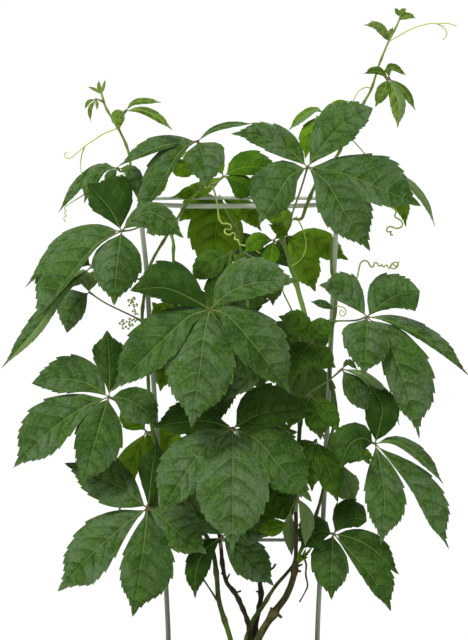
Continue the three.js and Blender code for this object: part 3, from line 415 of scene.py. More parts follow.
def crumb_tree():
    """Strews dented lumps of many sizes on the upward faces, each squashed and turned its own way."""
    tree, nodes = gn_group("soil_crumbs", {
        "Per Square Metre": "NodeSocketFloat",
        "Smallest": "NodeSocketFloat",
        "Largest": "NodeSocketFloat",
        "Seed": "NodeSocketInt",
        "Crumb Finish": "NodeSocketMaterial",
    })
    given = nodes.add("NodeGroupInput")
    up = nodes.add("ShaderNodeSeparateXYZ", values={0: nodes.add("GeometryNodeInputNormal")}, output="Z")
    top = up.maths("GREATER_THAN", up, CRUMB_SLOPE)
    spread = nodes.add("GeometryNodeDistributePointsOnFaces", {"distribute_method": "RANDOM"}, {
        "Mesh": given,
        "Selection": top,
        "Density": given.twin("Per Square Metre"),
        "Seed": given.twin("Seed"),
    })
    lump = nodes.add("GeometryNodeMeshIcoSphere", values={"Radius": 1.0, "Subdivisions": 2})
    dent = nodes.add("ShaderNodeTexNoise", values={"Scale": CRUMB_DENT_SCALE, "Detail": 1.0}, output=1)
    dent = nodes.add("ShaderNodeVectorMath", {"operation": "SUBTRACT"}, {0: dent, 1: (0.5, 0.5, 0.5)})
    dent = nodes.add("ShaderNodeVectorMath", {"operation": "SCALE"}, {0: dent, "Scale": CRUMB_DENT_DEPTH})
    lump = nodes.add("GeometryNodeSetPosition", values={"Geometry": lump, "Offset": dent})
    size = nodes.add("FunctionNodeRandomValue", {"data_type": "FLOAT"}, {
        2: given.twin("Smallest"), 3: given.twin("Largest"), "Seed": given.twin("Seed"),
    }, output=1)
    squash, turn = (
        nodes.add("FunctionNodeRandomValue", {"data_type": "FLOAT_VECTOR"}, {
            0: least, 1: most, "Seed": given.twin("Seed"),
        })
        for least, most in (CRUMB_SQUASH, CRUMB_TURN)
    )
    scale = nodes.add("ShaderNodeVectorMath", {"operation": "SCALE"}, {0: squash, "Scale": size})
    crumbs = nodes.add("GeometryNodeInstanceOnPoints", values={
        "Points": spread, "Instance": lump, "Rotation": turn, "Scale": scale,
    })
    crumbs = nodes.add("GeometryNodeRealizeInstances", values={"Geometry": crumbs})
    crumbs = nodes.add("GeometryNodeSetMaterial", values={
        "Geometry": crumbs, "Material": given.twin("Crumb Finish"),
    })
    both = nodes.tree.nodes.new("GeometryNodeJoinGeometry")
    nodes.tree.links.new(given.socket, both.inputs[0])
    nodes.tree.links.new(crumbs.socket, both.inputs[0])
    nodes.add("NodeGroupOutput", values={0: Wire(nodes, both.outputs[0])})
    return tree


soil_foot = POT_FLOOR + SOIL_ROOM
soil_profile = [(0, soil_foot), (pot_wall(soil_foot) - POT_WALL - 2 - SOIL_ROOM, soil_foot)]
soil_profile += [(pot_wall(z) - POT_WALL - SOIL_ROOM, z) for z in (6, 60, 120, 143)]
edge = pot_wall(146) - POT_WALL - SOIL_ROOM
soil_profile += [(edge * (1 - ring / SOIL_RINGS), SOIL_TOP) for ring in range(SOIL_RINGS)]
soil_profile += [(0, SOIL_TOP)]
soil_mesh = turned("soil_crumbly", soil_profile, SOIL_SIDES)
for vertex in soil_mesh.vertices:
    if vertex.co.z > (SOIL_TOP - 1) * MM:
        vertex.co.z = soil_height(vertex.co.x / MM, vertex.co.y / MM) * MM
    vertex.co.z = min(vertex.co.z, SOIL_LIMIT)
smooth(soil_mesh)
soil = put("soil_crumbly", soil_mesh, finish("soil", soil_look))
gn_run(soil, crumb_tree(), **CRUMBS, crumb_finish=finish("soil_crumb", crumb_look))
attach(soil, "root")
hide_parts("soil")


# ---------------------------------------------------------------------------------------------
# Trellis. Two legs of 5 mm rod stand in the soil, two bars join them at the top, one bowed to the
# front and one to the back, and one bar low down. Plain grey-green plastic, moulded together.
AXIS_COLUMN = 240
SOIL_ROW = 664
LEG_RADIUS = 2.5
FRONT_BAR_RADIUS = 2.4
THIN_BAR_RADIUS = 1.75
LEG_DEPTH = 35
ROD_SIDES = 20
ROD_STEP = 0.0025
PATH_STEPS = 24
DIRECTION_SPAN = 0.01
TRELLIS = {
    "trellis_leg_left": (LEG_RADIUS, [
        (168.5, 664, 28), (168, 627, 28), (154, 390, 28), (148.5, 305, 28), (146.4, 268, 28),
        (142.5, 232, 28), (140, 200, 28),
    ]),
    "trellis_leg_right": (LEG_RADIUS, [
        (317, 664, 28), (317.6, 628, 28), (324, 500, 28), (331, 340, 28), (336, 232, 28), (338, 200, 28),
    ]),
    "trellis_top_bar_front": (FRONT_BAR_RADIUS, [
        (142.5, 204, 24.6), (190, 206, 17), (240, 206, 15), (290, 206, 17), (335.8, 204, 24.6),
    ]),
    "trellis_top_bar_back": (THIN_BAR_RADIUS, [
        (142.2, 199, 30.6), (190, 198, 40), (240, 198, 42), (290, 198, 40), (336, 199, 30.6),
    ]),
    "trellis_low_bar": (THIN_BAR_RADIUS, [
        (166.2, 540, 28), (205, 540, 28), (242, 540, 28), (282, 540, 28), (319.1, 540, 28),
    ]),
}


def seen(x, y, depth):
    """The place that shows at step x, y of the picture and lies depth mm behind the pot's axis."""
    widen = (EYE_DISTANCE + depth) / EYE_DISTANCE
    left = EYE_SIDE + (x - AXIS_COLUMN - EYE_SIDE) * widen
    height = EYE_HEIGHT + (SOIL_ROW - y - (EYE_HEIGHT - SOIL_TOP)) * widen
    return Vector((left, depth, height)) * MM


class Path:
    """A smooth curve through points that is walked by its length, from 0 to 1."""

    def __init__(self, points):
        ends = [2 * points[0] - points[1], *points, 2 * points[-1] - points[-2]]
        self.spots = [points[0].copy()]
        for a, b, c, d in zip(ends, ends[1:], ends[2:], ends[3:]):
            ka, kb, kc = ((q - p).length ** 0.5 for p, q in ((a, b), (b, c), (c, d)))
            leave = ((b - a) / ka - (c - a) / (ka + kb) + (c - b) / kb) * kb
            reach = ((c - b) / kb - (d - b) / (kb + kc) + (d - c) / kc) * kb
            for i in range(1, PATH_STEPS + 1):
                t = i / PATH_STEPS
                square = 3 * (c - b) - 2 * leave - reach
                cube = 2 * (b - c) + leave + reach
                self.spots.append(b + leave * t + square * t**2 + cube * t**3)
        self.marks = [0.0]
        for near, far in zip(self.spots, self.spots[1:]):
            self.marks.append(self.marks[-1] + (far - near).length)
        self.length = self.marks[-1]

    def at(self, share):
        distance = min(max(share, 0), 1) * self.length
        i = min(max(bisect_right(self.marks, distance) - 1, 0), len(self.spots) - 2)
        part = (distance - self.marks[i]) / (self.marks[i + 1] - self.marks[i])
        return self.spots[i].lerp(self.spots[i + 1], part)

    def along(self, share):
        before, after = max(share - DIRECTION_SPAN, 0), min(share + DIRECTION_SPAN, 1)
        return (self.at(after) - self.at(before)).normalized()


def rod_tree():
    """Sweeps a round rod along each chain of edges, as thick as the girth of its points."""
    tree, nodes = gn_group("rod_along_path", {
        "Sides": "NodeSocketInt",
        "Lump Depth": "NodeSocketFloat",
        "Lumps Per Metre": "NodeSocketFloat",
        "Rod Finish": "NodeSocketMaterial",
        "Fine Finish": "NodeSocketMaterial",
    })
    given = nodes.add("NodeGroupInput")
    girth = nodes.add("GeometryNodeInputNamedAttribute", {"data_type": "FLOAT"}, {"Name": "girth"})
    fine = nodes.add("GeometryNodeInputNamedAttribute", {"data_type": "FLOAT"}, {"Name": "fine"})
    line = nodes.add("GeometryNodeMeshToCurve", values={"Mesh": given})
    ring = nodes.add("GeometryNodeCurvePrimitiveCircle", {"mode": "RADIUS"}, {
        "Resolution": given.twin("Sides"), "Radius": 1.0,
    })
    rod = nodes.add("GeometryNodeCurveToMesh", values={
        "Curve": line, "Profile Curve": ring, "Scale": girth, "Fill Caps": True,
    })
    lumps = nodes.add("ShaderNodeTexNoise", values={"Scale": given.twin("Lumps Per Metre"), "Detail": 2.0})
    depth = (lumps - 0.5) * given.twin("Lump Depth") * (1 - fine)
    lift = nodes.add("ShaderNodeVectorMath", {"operation": "SCALE"}, {
        0: nodes.add("GeometryNodeInputNormal"), "Scale": depth,
    })
    rod = nodes.add("GeometryNodeSetPosition", values={"Geometry": rod, "Offset": lift})
    rod = nodes.add("GeometryNodeSetShadeSmooth", values={"Geometry": rod})
    rod = nodes.add("GeometryNodeRealizeInstances", values={"Geometry": rod})
    for chosen, label in ((True, "Rod Finish"), (fine, "Fine Finish")):
        rod = nodes.add("GeometryNodeSetMaterial", values={
            "Geometry": rod, "Selection": chosen, "Material": given.twin(label),
        })
    nodes.add("NodeGroupOutput", values={0: rod})
    return tree


ROD_TREE = rod_tree()


def rods(name, chains, sides, look, fine_look=None, lump_depth=0.0, lumps_per_metre=1.0):
    """One mesh of rods. Each chain is a list of (place, radius, joint, fine), sizes in metres.

    joint is how near a joint the place is, and fine is 1 where the rod takes its fine finish.
    """
    points = [spot for chain in chains for spot, *_ in chain]
    edges = []
    first = 0
    for chain in chains:
        edges += [(first + i, first + i + 1) for i in range(len(chain) - 1)]
        first += len(chain)
    base = bpy.data.meshes.new(name)
    base.from_pydata(points, edges, [])
    for column, label in ((1, "girth"), (2, "joint"), (3, "fine")):
        marks = base.attributes.new(label, "FLOAT", "POINT")
        marks.data.foreach_set("value", [row[column] for chain in chains for row in chain])
    piece = put(name, base)
    gn_run(
        piece, ROD_TREE, sides=sides, lump_depth=lump_depth, lumps_per_metre=lumps_per_metre,
        rod_finish=look, fine_finish=fine_look or look,
    )
    return piece


def even_chain(path, radius):
    """Points every 2.5 mm along a path, with the radius, joint and fineness at each."""
    steps = max(3, round(path.length / ROD_STEP))
    return [(path.at(i / steps), *radius(i / steps)) for i in range(steps + 1)]


def height_of(nodes, wobble):
    """The height above the ground at each place, blurred so that no colour ends on a line."""
    spot = nodes.add("ShaderNodeTexCoord", output="Object")
    height = nodes.add("ShaderNodeSeparateXYZ", values={0: spot}, output="Z")
    return height + nodes.noise(45, detail=4) * wobble


def trellis_look(nodes):
    shade = nodes.noise(30, stretch=(1, 1, 0.4))
    drawn = nodes.noise(700, detail=2, stretch=(1, 1, 0.05))
    rubbed = nodes.noise(55, detail=5).ease(0.6, 0.72)
    # Large darker olive patches: painted shadow of the foliage falling on the rods.
    painted_shadow_patches = nodes.noise(9, detail=4).ease(0.5, 0.6)
    tone = nodes.mix(shade, srgb(98, 110, 92), srgb(136, 146, 128))
    tone = nodes.mix(painted_shadow_patches * 0.4, tone, srgb(74, 78, 58))
    # Painted highlight: the rods turn lighter towards the top, as if lit from above.
    tone = nodes.mix(height_of(nodes, 0.04).ease(0.52, 0.6) * 0.7, tone, srgb(170, 180, 160))
    return {
        "Base Color": nodes.mix(rubbed * 0.5, tone, srgb(172, 178, 162)),
        "Roughness": 0.4 + shade * 0.16,
        "Specular IOR Level": 0.4,
        "Normal": nodes.bump(drawn, 0.00015),
    }


trellis_plastic = finish("trellis_plastic", trellis_look)
for name, (radius, places) in TRELLIS.items():
    points = [seen(*place) for place in places]
    if "leg" in name:
        points.insert(0, points[0] - Vector((0, 0, LEG_DEPTH * MM)))
    chain = even_chain(Path(points), lambda share, thick=radius * MM: (thick, 0, 0))
    rod = rods(f"{name}_rod", [chain], ROD_SIDES, trellis_plastic)
    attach(rod, "root")
    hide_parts(name)


# ---------------------------------------------------------------------------------------------
# Stems. Five climbing stems rise from the soil between the trellis rods: two green, three woody
# and brown with knots where leaves and side twigs were, and two young shoots go on above them.
# Tendrils coil off the shoots and the green stems, and two thin twigs carry flower buds.
STEM_DEPTH = 25
STEM_SIDES = 14
STEM_LUMPS_PER_METRE = 210.0
KNOT_LENGTH = 0.0035
TWIG_FOOT = 1.15
TWIG_TIP = 0.7
TWIG_KNOTS = (0.05, 1)
TWIG_SWELL = 0.3
TENDRIL_FOOT = 0.0007
TENDRIL_TIP = 0.00055
BUD_TWIG_STEP = 0.0003
BUD_TWIG_RADIUS = 0.0003
BUD_SWELL = 0.0009
BUD_SPACING = 0.0025
BUD_LENGTH = 0.7
BUD_SWAY = 0.0013
BUD_FREE_FOOT = (0.007, 0.01)


def ease(value, low, high):
    """0 up to low, 1 from high on, smooth between."""
    part = min(1, max(0, (value - low) / (high - low)))
    return part * part * (3 - 2 * part)


def bell(distance, reach):
    """1 at no distance, and next to nothing from twice the reach on."""
    return math.exp(-((distance / reach) ** 2))


def green_look(nodes):
    joint = nodes.mark("joint")
    streaks = nodes.noise(260, detail=4, stretch=(1, 1, 0.12))
    patches = nodes.noise(34)
    height = height_of(nodes, 0.06)
    tone = nodes.mix(patches, srgb(34, 46, 12), srgb(56, 76, 22))
    tone = nodes.mix(height.ease(0.31, 0.38), tone, nodes.mix(patches, srgb(42, 72, 12), srgb(72, 102, 28)))
    tone = nodes.mix(height.ease(0.5, 0.6) * 0.8, tone, srgb(86, 116, 38))
    tone = nodes.mix(height.ease(0.25, 0.2) * 0.9, tone, srgb(88, 118, 24))
    tone = nodes.mix(streaks.ease(0.45, 0.7) * 0.4, tone, srgb(104, 136, 46))
    tone = nodes.mix(streaks.ease(0.5, 0.35) * 0.4, tone, srgb(52, 48, 20))
    return {
        "Base Color": nodes.mix(joint * 0.7, tone, srgb(82, 76, 38)),
        "Roughness": 0.55,
        "Specular IOR Level": 0.15,
        "Normal": nodes.bump(streaks, 0.0004),
    }


def bark_look(dull, pale, crack, scar):
    """Bark in two browns with dark cracks, that turns green towards the young end of the stem."""
    def look(nodes):
        joint = nodes.mark("joint")
        streaks = nodes.noise(240, detail=6, stretch=(1, 1, 0.14))
        patches = nodes.noise(45, detail=4)
        pores = nodes.cells(520, stretch=(1, 1, 0.45)).ease(0.34, 0.2)
        specks = nodes.noise(520, detail=3)
        height = height_of(nodes, 0.12)
        tone = nodes.mix(patches.ease(0.32, 0.7), dull, pale)
        tone = nodes.mix(specks.ease(0.52, 0.62) * 0.45, tone, scar)
        tone = nodes.mix(specks.ease(0.46, 0.36) * 0.6, tone, crack)
        tone = nodes.mix(streaks.ease(0.48, 0.66) * 0.75, tone, crack)
        tone = nodes.mix(pores * 0.3, tone, srgb(132, 124, 84))
        tone = nodes.mix(joint * 0.6, tone, scar)
        tone = nodes.mix(height.ease(0.24, 0.27) * 0.65, tone, srgb(44, 34, 15))
        green = nodes.mix(height.ease(0.46, 0.55), srgb(50, 74, 18), srgb(100, 132, 52))
        return {
            "Base Color": nodes.mix(height.ease(0.36, 0.44) * 0.82, tone, green),
            "Roughness": 0.72 + patches * 0.2,
            "Specular IOR Level": 0.2,
            "Normal": nodes.bump(streaks, 0.001),
        }
    return look


def young_look(nodes):
    joint = nodes.mark("joint")
    streaks = nodes.noise(300, detail=3, stretch=(1, 1, 0.15))
    tone = nodes.mix(streaks, srgb(76, 108, 30), srgb(112, 140, 52))
    blush = nodes.noise(26).ease(0.5, 0.68)
    tone = nodes.mix(blush * 0.3, tone, srgb(96, 82, 44))
    return {
        "Base Color": nodes.mix(joint * 0.5, tone, srgb(100, 80, 40)),
        "Roughness": 0.5,
        "Specular IOR Level": 0.2,
        "Normal": nodes.bump(streaks, 0.00025),
    }


def tendril_look(nodes):
    shade = nodes.noise(60)
    return {
        "Base Color": nodes.mix(shade, srgb(120, 142, 52), srgb(176, 186, 98)),
        "Roughness": 0.55,
        "Specular IOR Level": 0.3,
    }


tendril_green = finish("tendril", tendril_look)
stem_finishes = {
    "green": ("green_stem", finish("green_stem", green_look), 0.3, 0.0005),
    "woody": ("woody_stem", finish("woody_stem", bark_look(
        srgb(54, 54, 20), srgb(92, 98, 46), srgb(28, 26, 10), srgb(108, 102, 58),
    )), 0.42, 0.0007),
    "dark": ("woody_stem", finish("dark_stem", bark_look(
        srgb(24, 23, 7), srgb(54, 48, 22), srgb(14, 12, 5), srgb(52, 34, 18),
    )), 0.36, 0.0009),
    "young": ("young_growth", finish("young_stem", young_look), 0.35, 0.0002),
}


def knotted(path, thick, knots, swell):
    """The radius and the nearness of a knot at each share of a stem.

    thick holds shares of the length and the thickness in mm there. The stem tapers evenly between
    them, and each knot swells it.
    """
    def radius(share):
        near = max(bell((share - knot) * path.length, KNOT_LENGTH) for knot in knots)
        below = max(i for i, (place, _) in enumerate(thick[:-1]) if place <= share)
        (start, wide), (end, narrow) = thick[below], thick[below + 1]
        plain = (wide + (narrow - wide) * (share - start) / (end - start)) / 2
        return plain * (1 + swell * near) * MM, near, 0
    return radius


def twig_chain(path, wide):
    """A short side twig that swells a little where it leaves the stem and at its end."""
    thick = ((0, wide * TWIG_FOOT), (1, wide * TWIG_TIP))
    return even_chain(path, knotted(path, thick, TWIG_KNOTS, TWIG_SWELL))


def tendril_chain(path, stout):
    """A thin curling thread that narrows to its tip."""
    taper = TENDRIL_TIP - TENDRIL_FOOT
    return even_chain(path, lambda share: (stout * (TENDRIL_FOOT + taper * share), 0, 1))


def bud_chain(path):
    """A thin twig set with round flower buds, left and right by turns, all but its foot."""
    steps = round(path.length / BUD_TWIG_STEP)
    chain = []
    for i in range(steps + 1):
        distance = i / steps * path.length
        turn = distance / BUD_SPACING
        budding = ease(distance, *BUD_FREE_FOOT)
        along = path.along(i / steps)
        sway = Vector((-along.z, 0, along.x)) * BUD_SWAY * math.sin(math.pi * turn) * budding
        bud = math.sqrt(max(0, 1 - (abs(turn % 1 - 0.5) * 2 / BUD_LENGTH) ** 2)) * budding
        chain.append((path.at(i / steps) + sway, BUD_TWIG_RADIUS + BUD_SWELL * bud, 0, 1))
    return chain


stem_paths = {}


def grow_stem(name, tone, thick, knots, places, twigs=(), tendrils=(), bud_twigs=()):
    """Sweeps one stem, with its twigs, tendrils and flower buds, as one mesh.

    Stem and twigs are so many mm thick, tendrils so many times as thick as the thinnest.
    """
    points = [seen(*place) for place in places]
    if name.startswith("stem"):
        points.insert(0, Vector((points[0].x, points[0].y, (SOIL_TOP - STEM_DEPTH) * MM)))
    path = stem_paths[name] = Path(points)
    slot, skin, swell, lumps = stem_finishes[tone]
    chains = [even_chain(path, knotted(path, thick, knots, swell))]
    for kind, rows in ((twig_chain, twigs), (tendril_chain, tendrils)):
        chains += [kind(Path([seen(*place) for place in row]), wide) for wide, row in rows]
    chains += [bud_chain(Path([seen(*place) for place in row])) for row in bud_twigs]
    stem = rods(f"{name}_grown", chains, STEM_SIDES, skin, tendril_green, lumps, STEM_LUMPS_PER_METRE)
    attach(stem, "root")
    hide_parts(name)


grow_stem(
    "stem_green_left", "green",
    thick=((0, 5.6), (1, 2.6)),
    knots=(0.07, 0.13, 0.22, 0.345, 0.47, 0.55, 0.66, 0.74, 0.8, 0.87, 0.94),
    places=[
        (236, 664, 3), (229.5, 636, 3), (219, 601, 4), (216.5, 575, 4), (212, 549, 6), (186, 500, 9),
        (157, 445, 10), (151, 420, 10), (147, 360, 10), (142.2, 321, 8), (143.7, 299, 7), (150, 266, 6),
        (166, 237, 4), (179, 216, 2), (190, 200, 2), (205, 187, 4),
    ],
    twigs=[
        (2, [(217, 600, 4), (204, 580, -4)]),
    ],
    tendrils=[
        (1.4, [
            (205, 187.5, 3), (212, 187, -8), (216, 197, -12), (218, 210, -12), (219, 218, -12),
            (222.4, 223.4, -12), (228, 223.6, -10), (231.6, 226.6, -8), (229.6, 229.8, -6),
            (225.4, 228.8, -8), (225, 233, -11), (229.6, 235, -11), (233.2, 232.4, -8), (235.4, 235, -6),
            (234.6, 239, -8), (238.6, 240.4, -11), (239, 244, -10), (246, 246, -10), (255, 249.7, -12),
            (260, 253.5, -12),
        ]),
    ],
    bud_twigs=[
        [
            (142.5, 314, 8), (136.6, 314, 0), (133.4, 310, -6), (136, 305.6, -8), (132, 302.6, -6),
            (133.6, 298.6, -4), (129.6, 300.6, -4), (130.6, 306, -6),
        ],
        [
            (142.5, 319, 8), (136, 320.6, 0), (130.6, 319.6, -6), (126.6, 323, -8), (121, 320.6, -6),
            (121.6, 325.6, -4), (126, 328, -4), (131.6, 325.6, -6), (128.6, 322, -8),
        ],
    ],
)
grow_stem(
    "stem_woody_left", "dark",
    thick=((0, 4.6), (1, 2.8)),
    knots=(0.08, 0.115, 0.135, 0.16, 0.18, 0.2, 0.26, 0.35, 0.45, 0.56, 0.68, 0.79, 0.88),
    places=[
        (248, 664, 4), (250, 640, 2), (248, 623, 1), (242, 607, -2), (235, 593, -4), (227, 583, -5),
        (223, 568, -5), (220, 539, -5), (212, 500, -5), (203, 445, -5), (192, 380, -6), (182, 320, -7),
        (173.6, 262, -8), (172, 237, -9), (158, 219, -8), (140, 200, -4),
    ],
    twigs=[
        (2, [(235, 593, -4), (240.5, 591, -12)]),
        (1.8, [(226, 581, -5), (229.5, 574, -9)]),
        (1.6, [(225, 576, -5), (221, 573, -9)]),
    ],
)
grow_stem(
    "stem_dark_middle", "dark",
    thick=((0, 5.6), (1, 2.6)),
    knots=(0.12, 0.17, 0.2, 0.25, 0.37, 0.5, 0.62, 0.73, 0.85),
    places=[
        (253, 664, 20), (255, 630, 20), (259, 609, 21), (261, 597, 21), (260, 584, 21), (252, 550, 19),
        (248, 530, 18), (249, 470, 17), (251, 400, 17), (251, 370, 17), (249, 320, 16), (243, 265, 16),
        (236, 222, 18),
    ],
    twigs=[
        (1.8, [(260.5, 592, 21), (256.4, 591.5, 10)]),
        (2.5, [(260, 583, 21), (269, 571, 2), (273.5, 567.5, -6), (275.6, 564, -8)]),
    ],
)
grow_stem(
    "stem_green_right", "green",
    thick=((0, 5.6), (0.16, 4.2), (0.26, 3.4), (1, 3)),
    knots=(0.06, 0.11, 0.2, 0.3, 0.41, 0.52, 0.63, 0.74, 0.84, 0.93),
    places=[
        (240, 664, 14), (247.5, 636, 12), (253.5, 619, 11), (262.4, 607, 9), (274, 588, 8), (294, 564, 8),
        (307, 537, 8), (316, 515, 8), (323, 490, 9), (329, 445, 10), (335.5, 418, 12), (335.5, 402, 12),
        (330.4, 384, 12), (329.8, 355, 12), (331.4, 335, 11), (336, 302, 10), (331.6, 267, 10),
        (331.8, 238, 10),
    ],
    tendrils=[
        (1, [
            (336, 306, 9), (340.6, 306.6, 2), (345, 308.6, 0), (345.8, 313.4, 0), (342, 316.4, 1),
            (339.4, 313, 2), (341.6, 309.8, 2), (344, 312.6, 0),
        ]),
        (1.35, [
            (336, 300, 10), (352, 285, -4), (357, 278, -6), (358.6, 271, -8), (360.6, 263, -8),
            (364.4, 260.4, -8), (368, 262, -7), (370.6, 266.6, -6), (373, 267, -8), (374.6, 262.8, -10),
            (377.4, 263, -8), (379, 266.6, -6), (382, 264.6, -8), (383.4, 267.6, -10), (386.6, 264.6, -8),
            (388.6, 268.6, -6), (392, 264, -8), (396, 262, -10), (398.4, 264.6, -8), (395, 268.6, -6),
            (391, 268, -8), (391.6, 263.6, -10), (396.4, 266.6, -8), (399, 261.6, -6),
        ]),
    ],
)
grow_stem(
    "stem_woody_right", "woody",
    thick=((0, 8.2), (0.167, 7.2), (0.262, 6.2), (0.29, 4.2), (0.7, 4.2), (0.85, 5), (1, 4.4)),
    knots=(0.164, 0.17, 0.268, 0.28, 0.34, 0.41, 0.49, 0.57, 0.66, 0.76, 0.86, 0.95),
    places=[
        (251, 664, -9), (258.6, 638, -9), (274, 613, -9), (286.7, 595, -9), (294, 574, -9), (296, 545, -9),
        (296, 500, -9), (299, 440, -8), (303, 380, -8), (306.5, 326, -8), (298, 290, -7), (288.8, 257, -6),
        (282, 236, -5), (286, 224, -4), (292, 219, -3),
    ],
    twigs=[
        (3.4, [(275, 612, -9), (281.5, 617.5, -13)]),
        (3, [(275, 612, -9), (270.5, 608, -12)]),
        (2.6, [(295.5, 570, -9), (300.5, 571.5, -15)]),
        (2.4, [(295.6, 567, -9), (302, 564.5, -15)]),
        (2, [
            (296, 560, -9), (302, 556, -18), (306, 563, -20), (305.8, 575, -22), (307.6, 586, -24),
            (304, 594, -24), (299.5, 602, -24),
        ]),
        (2, [(303, 352, -8), (294, 316, -10), (284, 294, -14), (279, 281, -18)]),
    ],
)
grow_stem(
    "shoot_left", "young",
    thick=((0, 3.3), (1, 2)),
    knots=(0.25, 0.5, 0.68, 0.84, 0.93),
    places=[
        (139.6, 199.4, -4), (132, 184, -4), (129, 154, -6), (119, 129.5, -8), (108, 111.6, -10),
        (104.6, 104.5, -11), (101.5, 93, -12),
    ],
    tendrils=[
        (1, [
            (118, 128, -8), (103, 134, -12), (94, 140, -16), (85, 146, -18), (76, 153.6, -20),
            (69, 158.5, -20), (64, 156, -18), (66.5, 152, -15),
        ]),
        (1, [(85, 146, -18), (82, 154, -16), (80.5, 164, -14), (81.4, 175, -14)]),
        (1, [
            (131, 172, -5), (108, 180, 4), (82, 196, 6), (66, 206, 6), (64, 209, 6), (66.6, 211, 7),
            (63.6, 213, 5), (66.6, 215.6, 7), (63.4, 218, 5), (65.6, 222, 6),
        ]),
    ],
)
grow_stem(
    "shoot_right", "young",
    thick=((0, 2.8), (0.08, 3.7), (1, 1.8)),
    knots=(0.14, 0.3, 0.38, 0.6, 0.68, 0.8, 0.93),
    places=[
        (293.6, 218.7, -3), (301, 219, 0), (306, 207, 4), (318, 180, 8), (337.5, 155, 8), (344.4, 140, 8),
        (363, 104, 5), (371, 89.6, 3), (378.6, 66, 0), (389, 40.6, -3), (398, 23, -5), (400.6, 15, -6),
    ],
    tendrils=[
        (1, [
            (389.5, 41, -3), (400, 35, -6), (411.4, 29, -10), (424.6, 24.5, -12), (436, 23.6, -12),
            (444, 28, -10), (447, 34, -8), (443, 40, -6),
        ]),
        (1, [(437, 23.8, -12), (446, 23, -13), (457, 26, -14)]),
        (1, [(371, 88, 3), (365, 87.5, -6), (358, 92, -10), (353, 101.6, -12)]),
        (1, [(345, 139, 8), (352, 140, -4), (358, 146, -8), (365, 154, -8)]),
        (1.45, [
            (331, 163, 9), (352, 176, 4), (382, 202, 4), (396, 211, 4), (394.6, 216.6, 3), (398, 218.6, 4),
            (402, 222, 5), (402.3, 226, 6), (398.4, 228.4, 7), (394.6, 228, 5), (390.6, 226.4, 4),
            (386.8, 228.6, 5), (387.4, 232, 7), (391.6, 231.4, 8), (390, 234.8, 6), (393, 235, 5),
        ]),
        (1, [
            (296.3, 216.8, -1.8), (303, 230, -12), (306, 243, -16), (304, 254, -16), (298, 262, -14),
            (291, 266, -13),
        ]),
    ],
)


# ---------------------------------------------------------------------------------------------
# Leaves. Each is a thin stalk with two to six toothed leaflets that meet at one hub. A leaflet is a
# thin blade with a sunk midrib, side veins that lean to its tip, and quilted fields between them.
# Each leaf grows from its stalk's foot on a stem, as one body.
BLADE_THICK = 0.0005
# Teeth and veins: lengths in metres, the rest as shares of a tooth or of the rib.
TEETH = dict(spacing=0.0155, least=4, most=9)
TOOTH_STEPS = (0, 0.1, 0.34, 0.6, 0.85)
TOOTH_POINT = TOOTH_STEPS[-1]
TOOTH_DEPTH = 0.05
TOOTH_LEAN = 0.2
DEEPEST_TOOTH = 0.0014
PLAIN_FOOT = (0.1, 0.22)
PLAIN_TIP = (0.01, 0.1)
VEINS = dict(spacing=0.0205, least=4, most=7)
VEIN_START = 0.85
VEIN_LEAN = 1.9
# Relief of the blade, and how far its halves tilt and its edges droop.
QUILT = 0.0013
RIB_SINK = 0.0006
RIB_REACH = 0.0016
CREST = 0.085
RIPPLE = 0.0012
RIPPLE_TURN = 15
CURL = 0.0018
CALM_TILT = 0.8
EDGE_DROOP = 0.14
LEAF_TILT = 0.6
# Outline: the narrow foot, the drawn-out tip, and the columns of points from the rib to the edge.
NECK = 0.14
NECK_WIDTH = 0.1
FOOT_BULGE = 1.1
PEAK_BULGE = 2.2
TIP_BULGE = 1.05
FOOT_HALF = 0.0004
DRIP_TIP = (0.75, 0.92)
FULL_RELIEF_HALF = 0.018
SHARES = (0, 0.035, 0.1, 0.2, 0.32, 0.46, 0.6, 0.74, 0.86, 0.94, 1)
# Half the width of the midrib's mark, in mm, and the length from which a blade has it in full.
RIB_MARK_TIP = 0.12
RIB_MARK_TAPER = 0.75
FULL_RIB_LENGTH = 0.12
# Drawn for each leaflet: its tone, the start of its ripple, its curl, and how much lighter one half is
# painted than the other, as painted light and shade on its two halves.
LEAFLET_CHANCES = ((0.55, 0.85), (0, math.tau), (-0.5, 0.5), (-0.14, 0.14))
# Stalk, and the foot of each rib.
STALK_SIDES = 10
STALK_STEP = 0.003
STALK_RADIUS = 0.00095
STALK_END = ((0.0036, 0.0003), (0.0026, 0.0010), (0.001, 0.0015))
LEAST_STALK = 0.6
FULL_STALK_LEAF = 0.16
ELBOW = 0.009
BEND_SHARE = 0.35
BOW = 3
SAG = 2
HUB_SWELL = dict(size=0.0006, reach=0.0045)
FOOT_SWELL = dict(size=0.0009, reach=0.005)
FOOT_MARK = 0.006
HUB_GAP = 1.1
RIB_FOOT_POINTS = 6
RIB_FOOT_RADIUS = 0.0008
RIB_FOOT_TAPER = 0.00013
STEM_STEPS = 400


def fullness(u, peak):
    """How wide a blade is along its rib, from 0 at both ends to 1 where it is widest."""
    if u < peak:
        return math.sin(math.pi / 2 * u / peak) ** (FOOT_BULGE + PEAK_BULGE * (peak - 0.5))
    return max(0, math.cos(math.pi / 2 * (u - peak) / (1 - peak))) ** TIP_BULGE


def count_along(length, spacing, least, most):
    """How many teeth or veins fit one half of a blade."""
    return max(least, min(most, round(2 + length / spacing)))


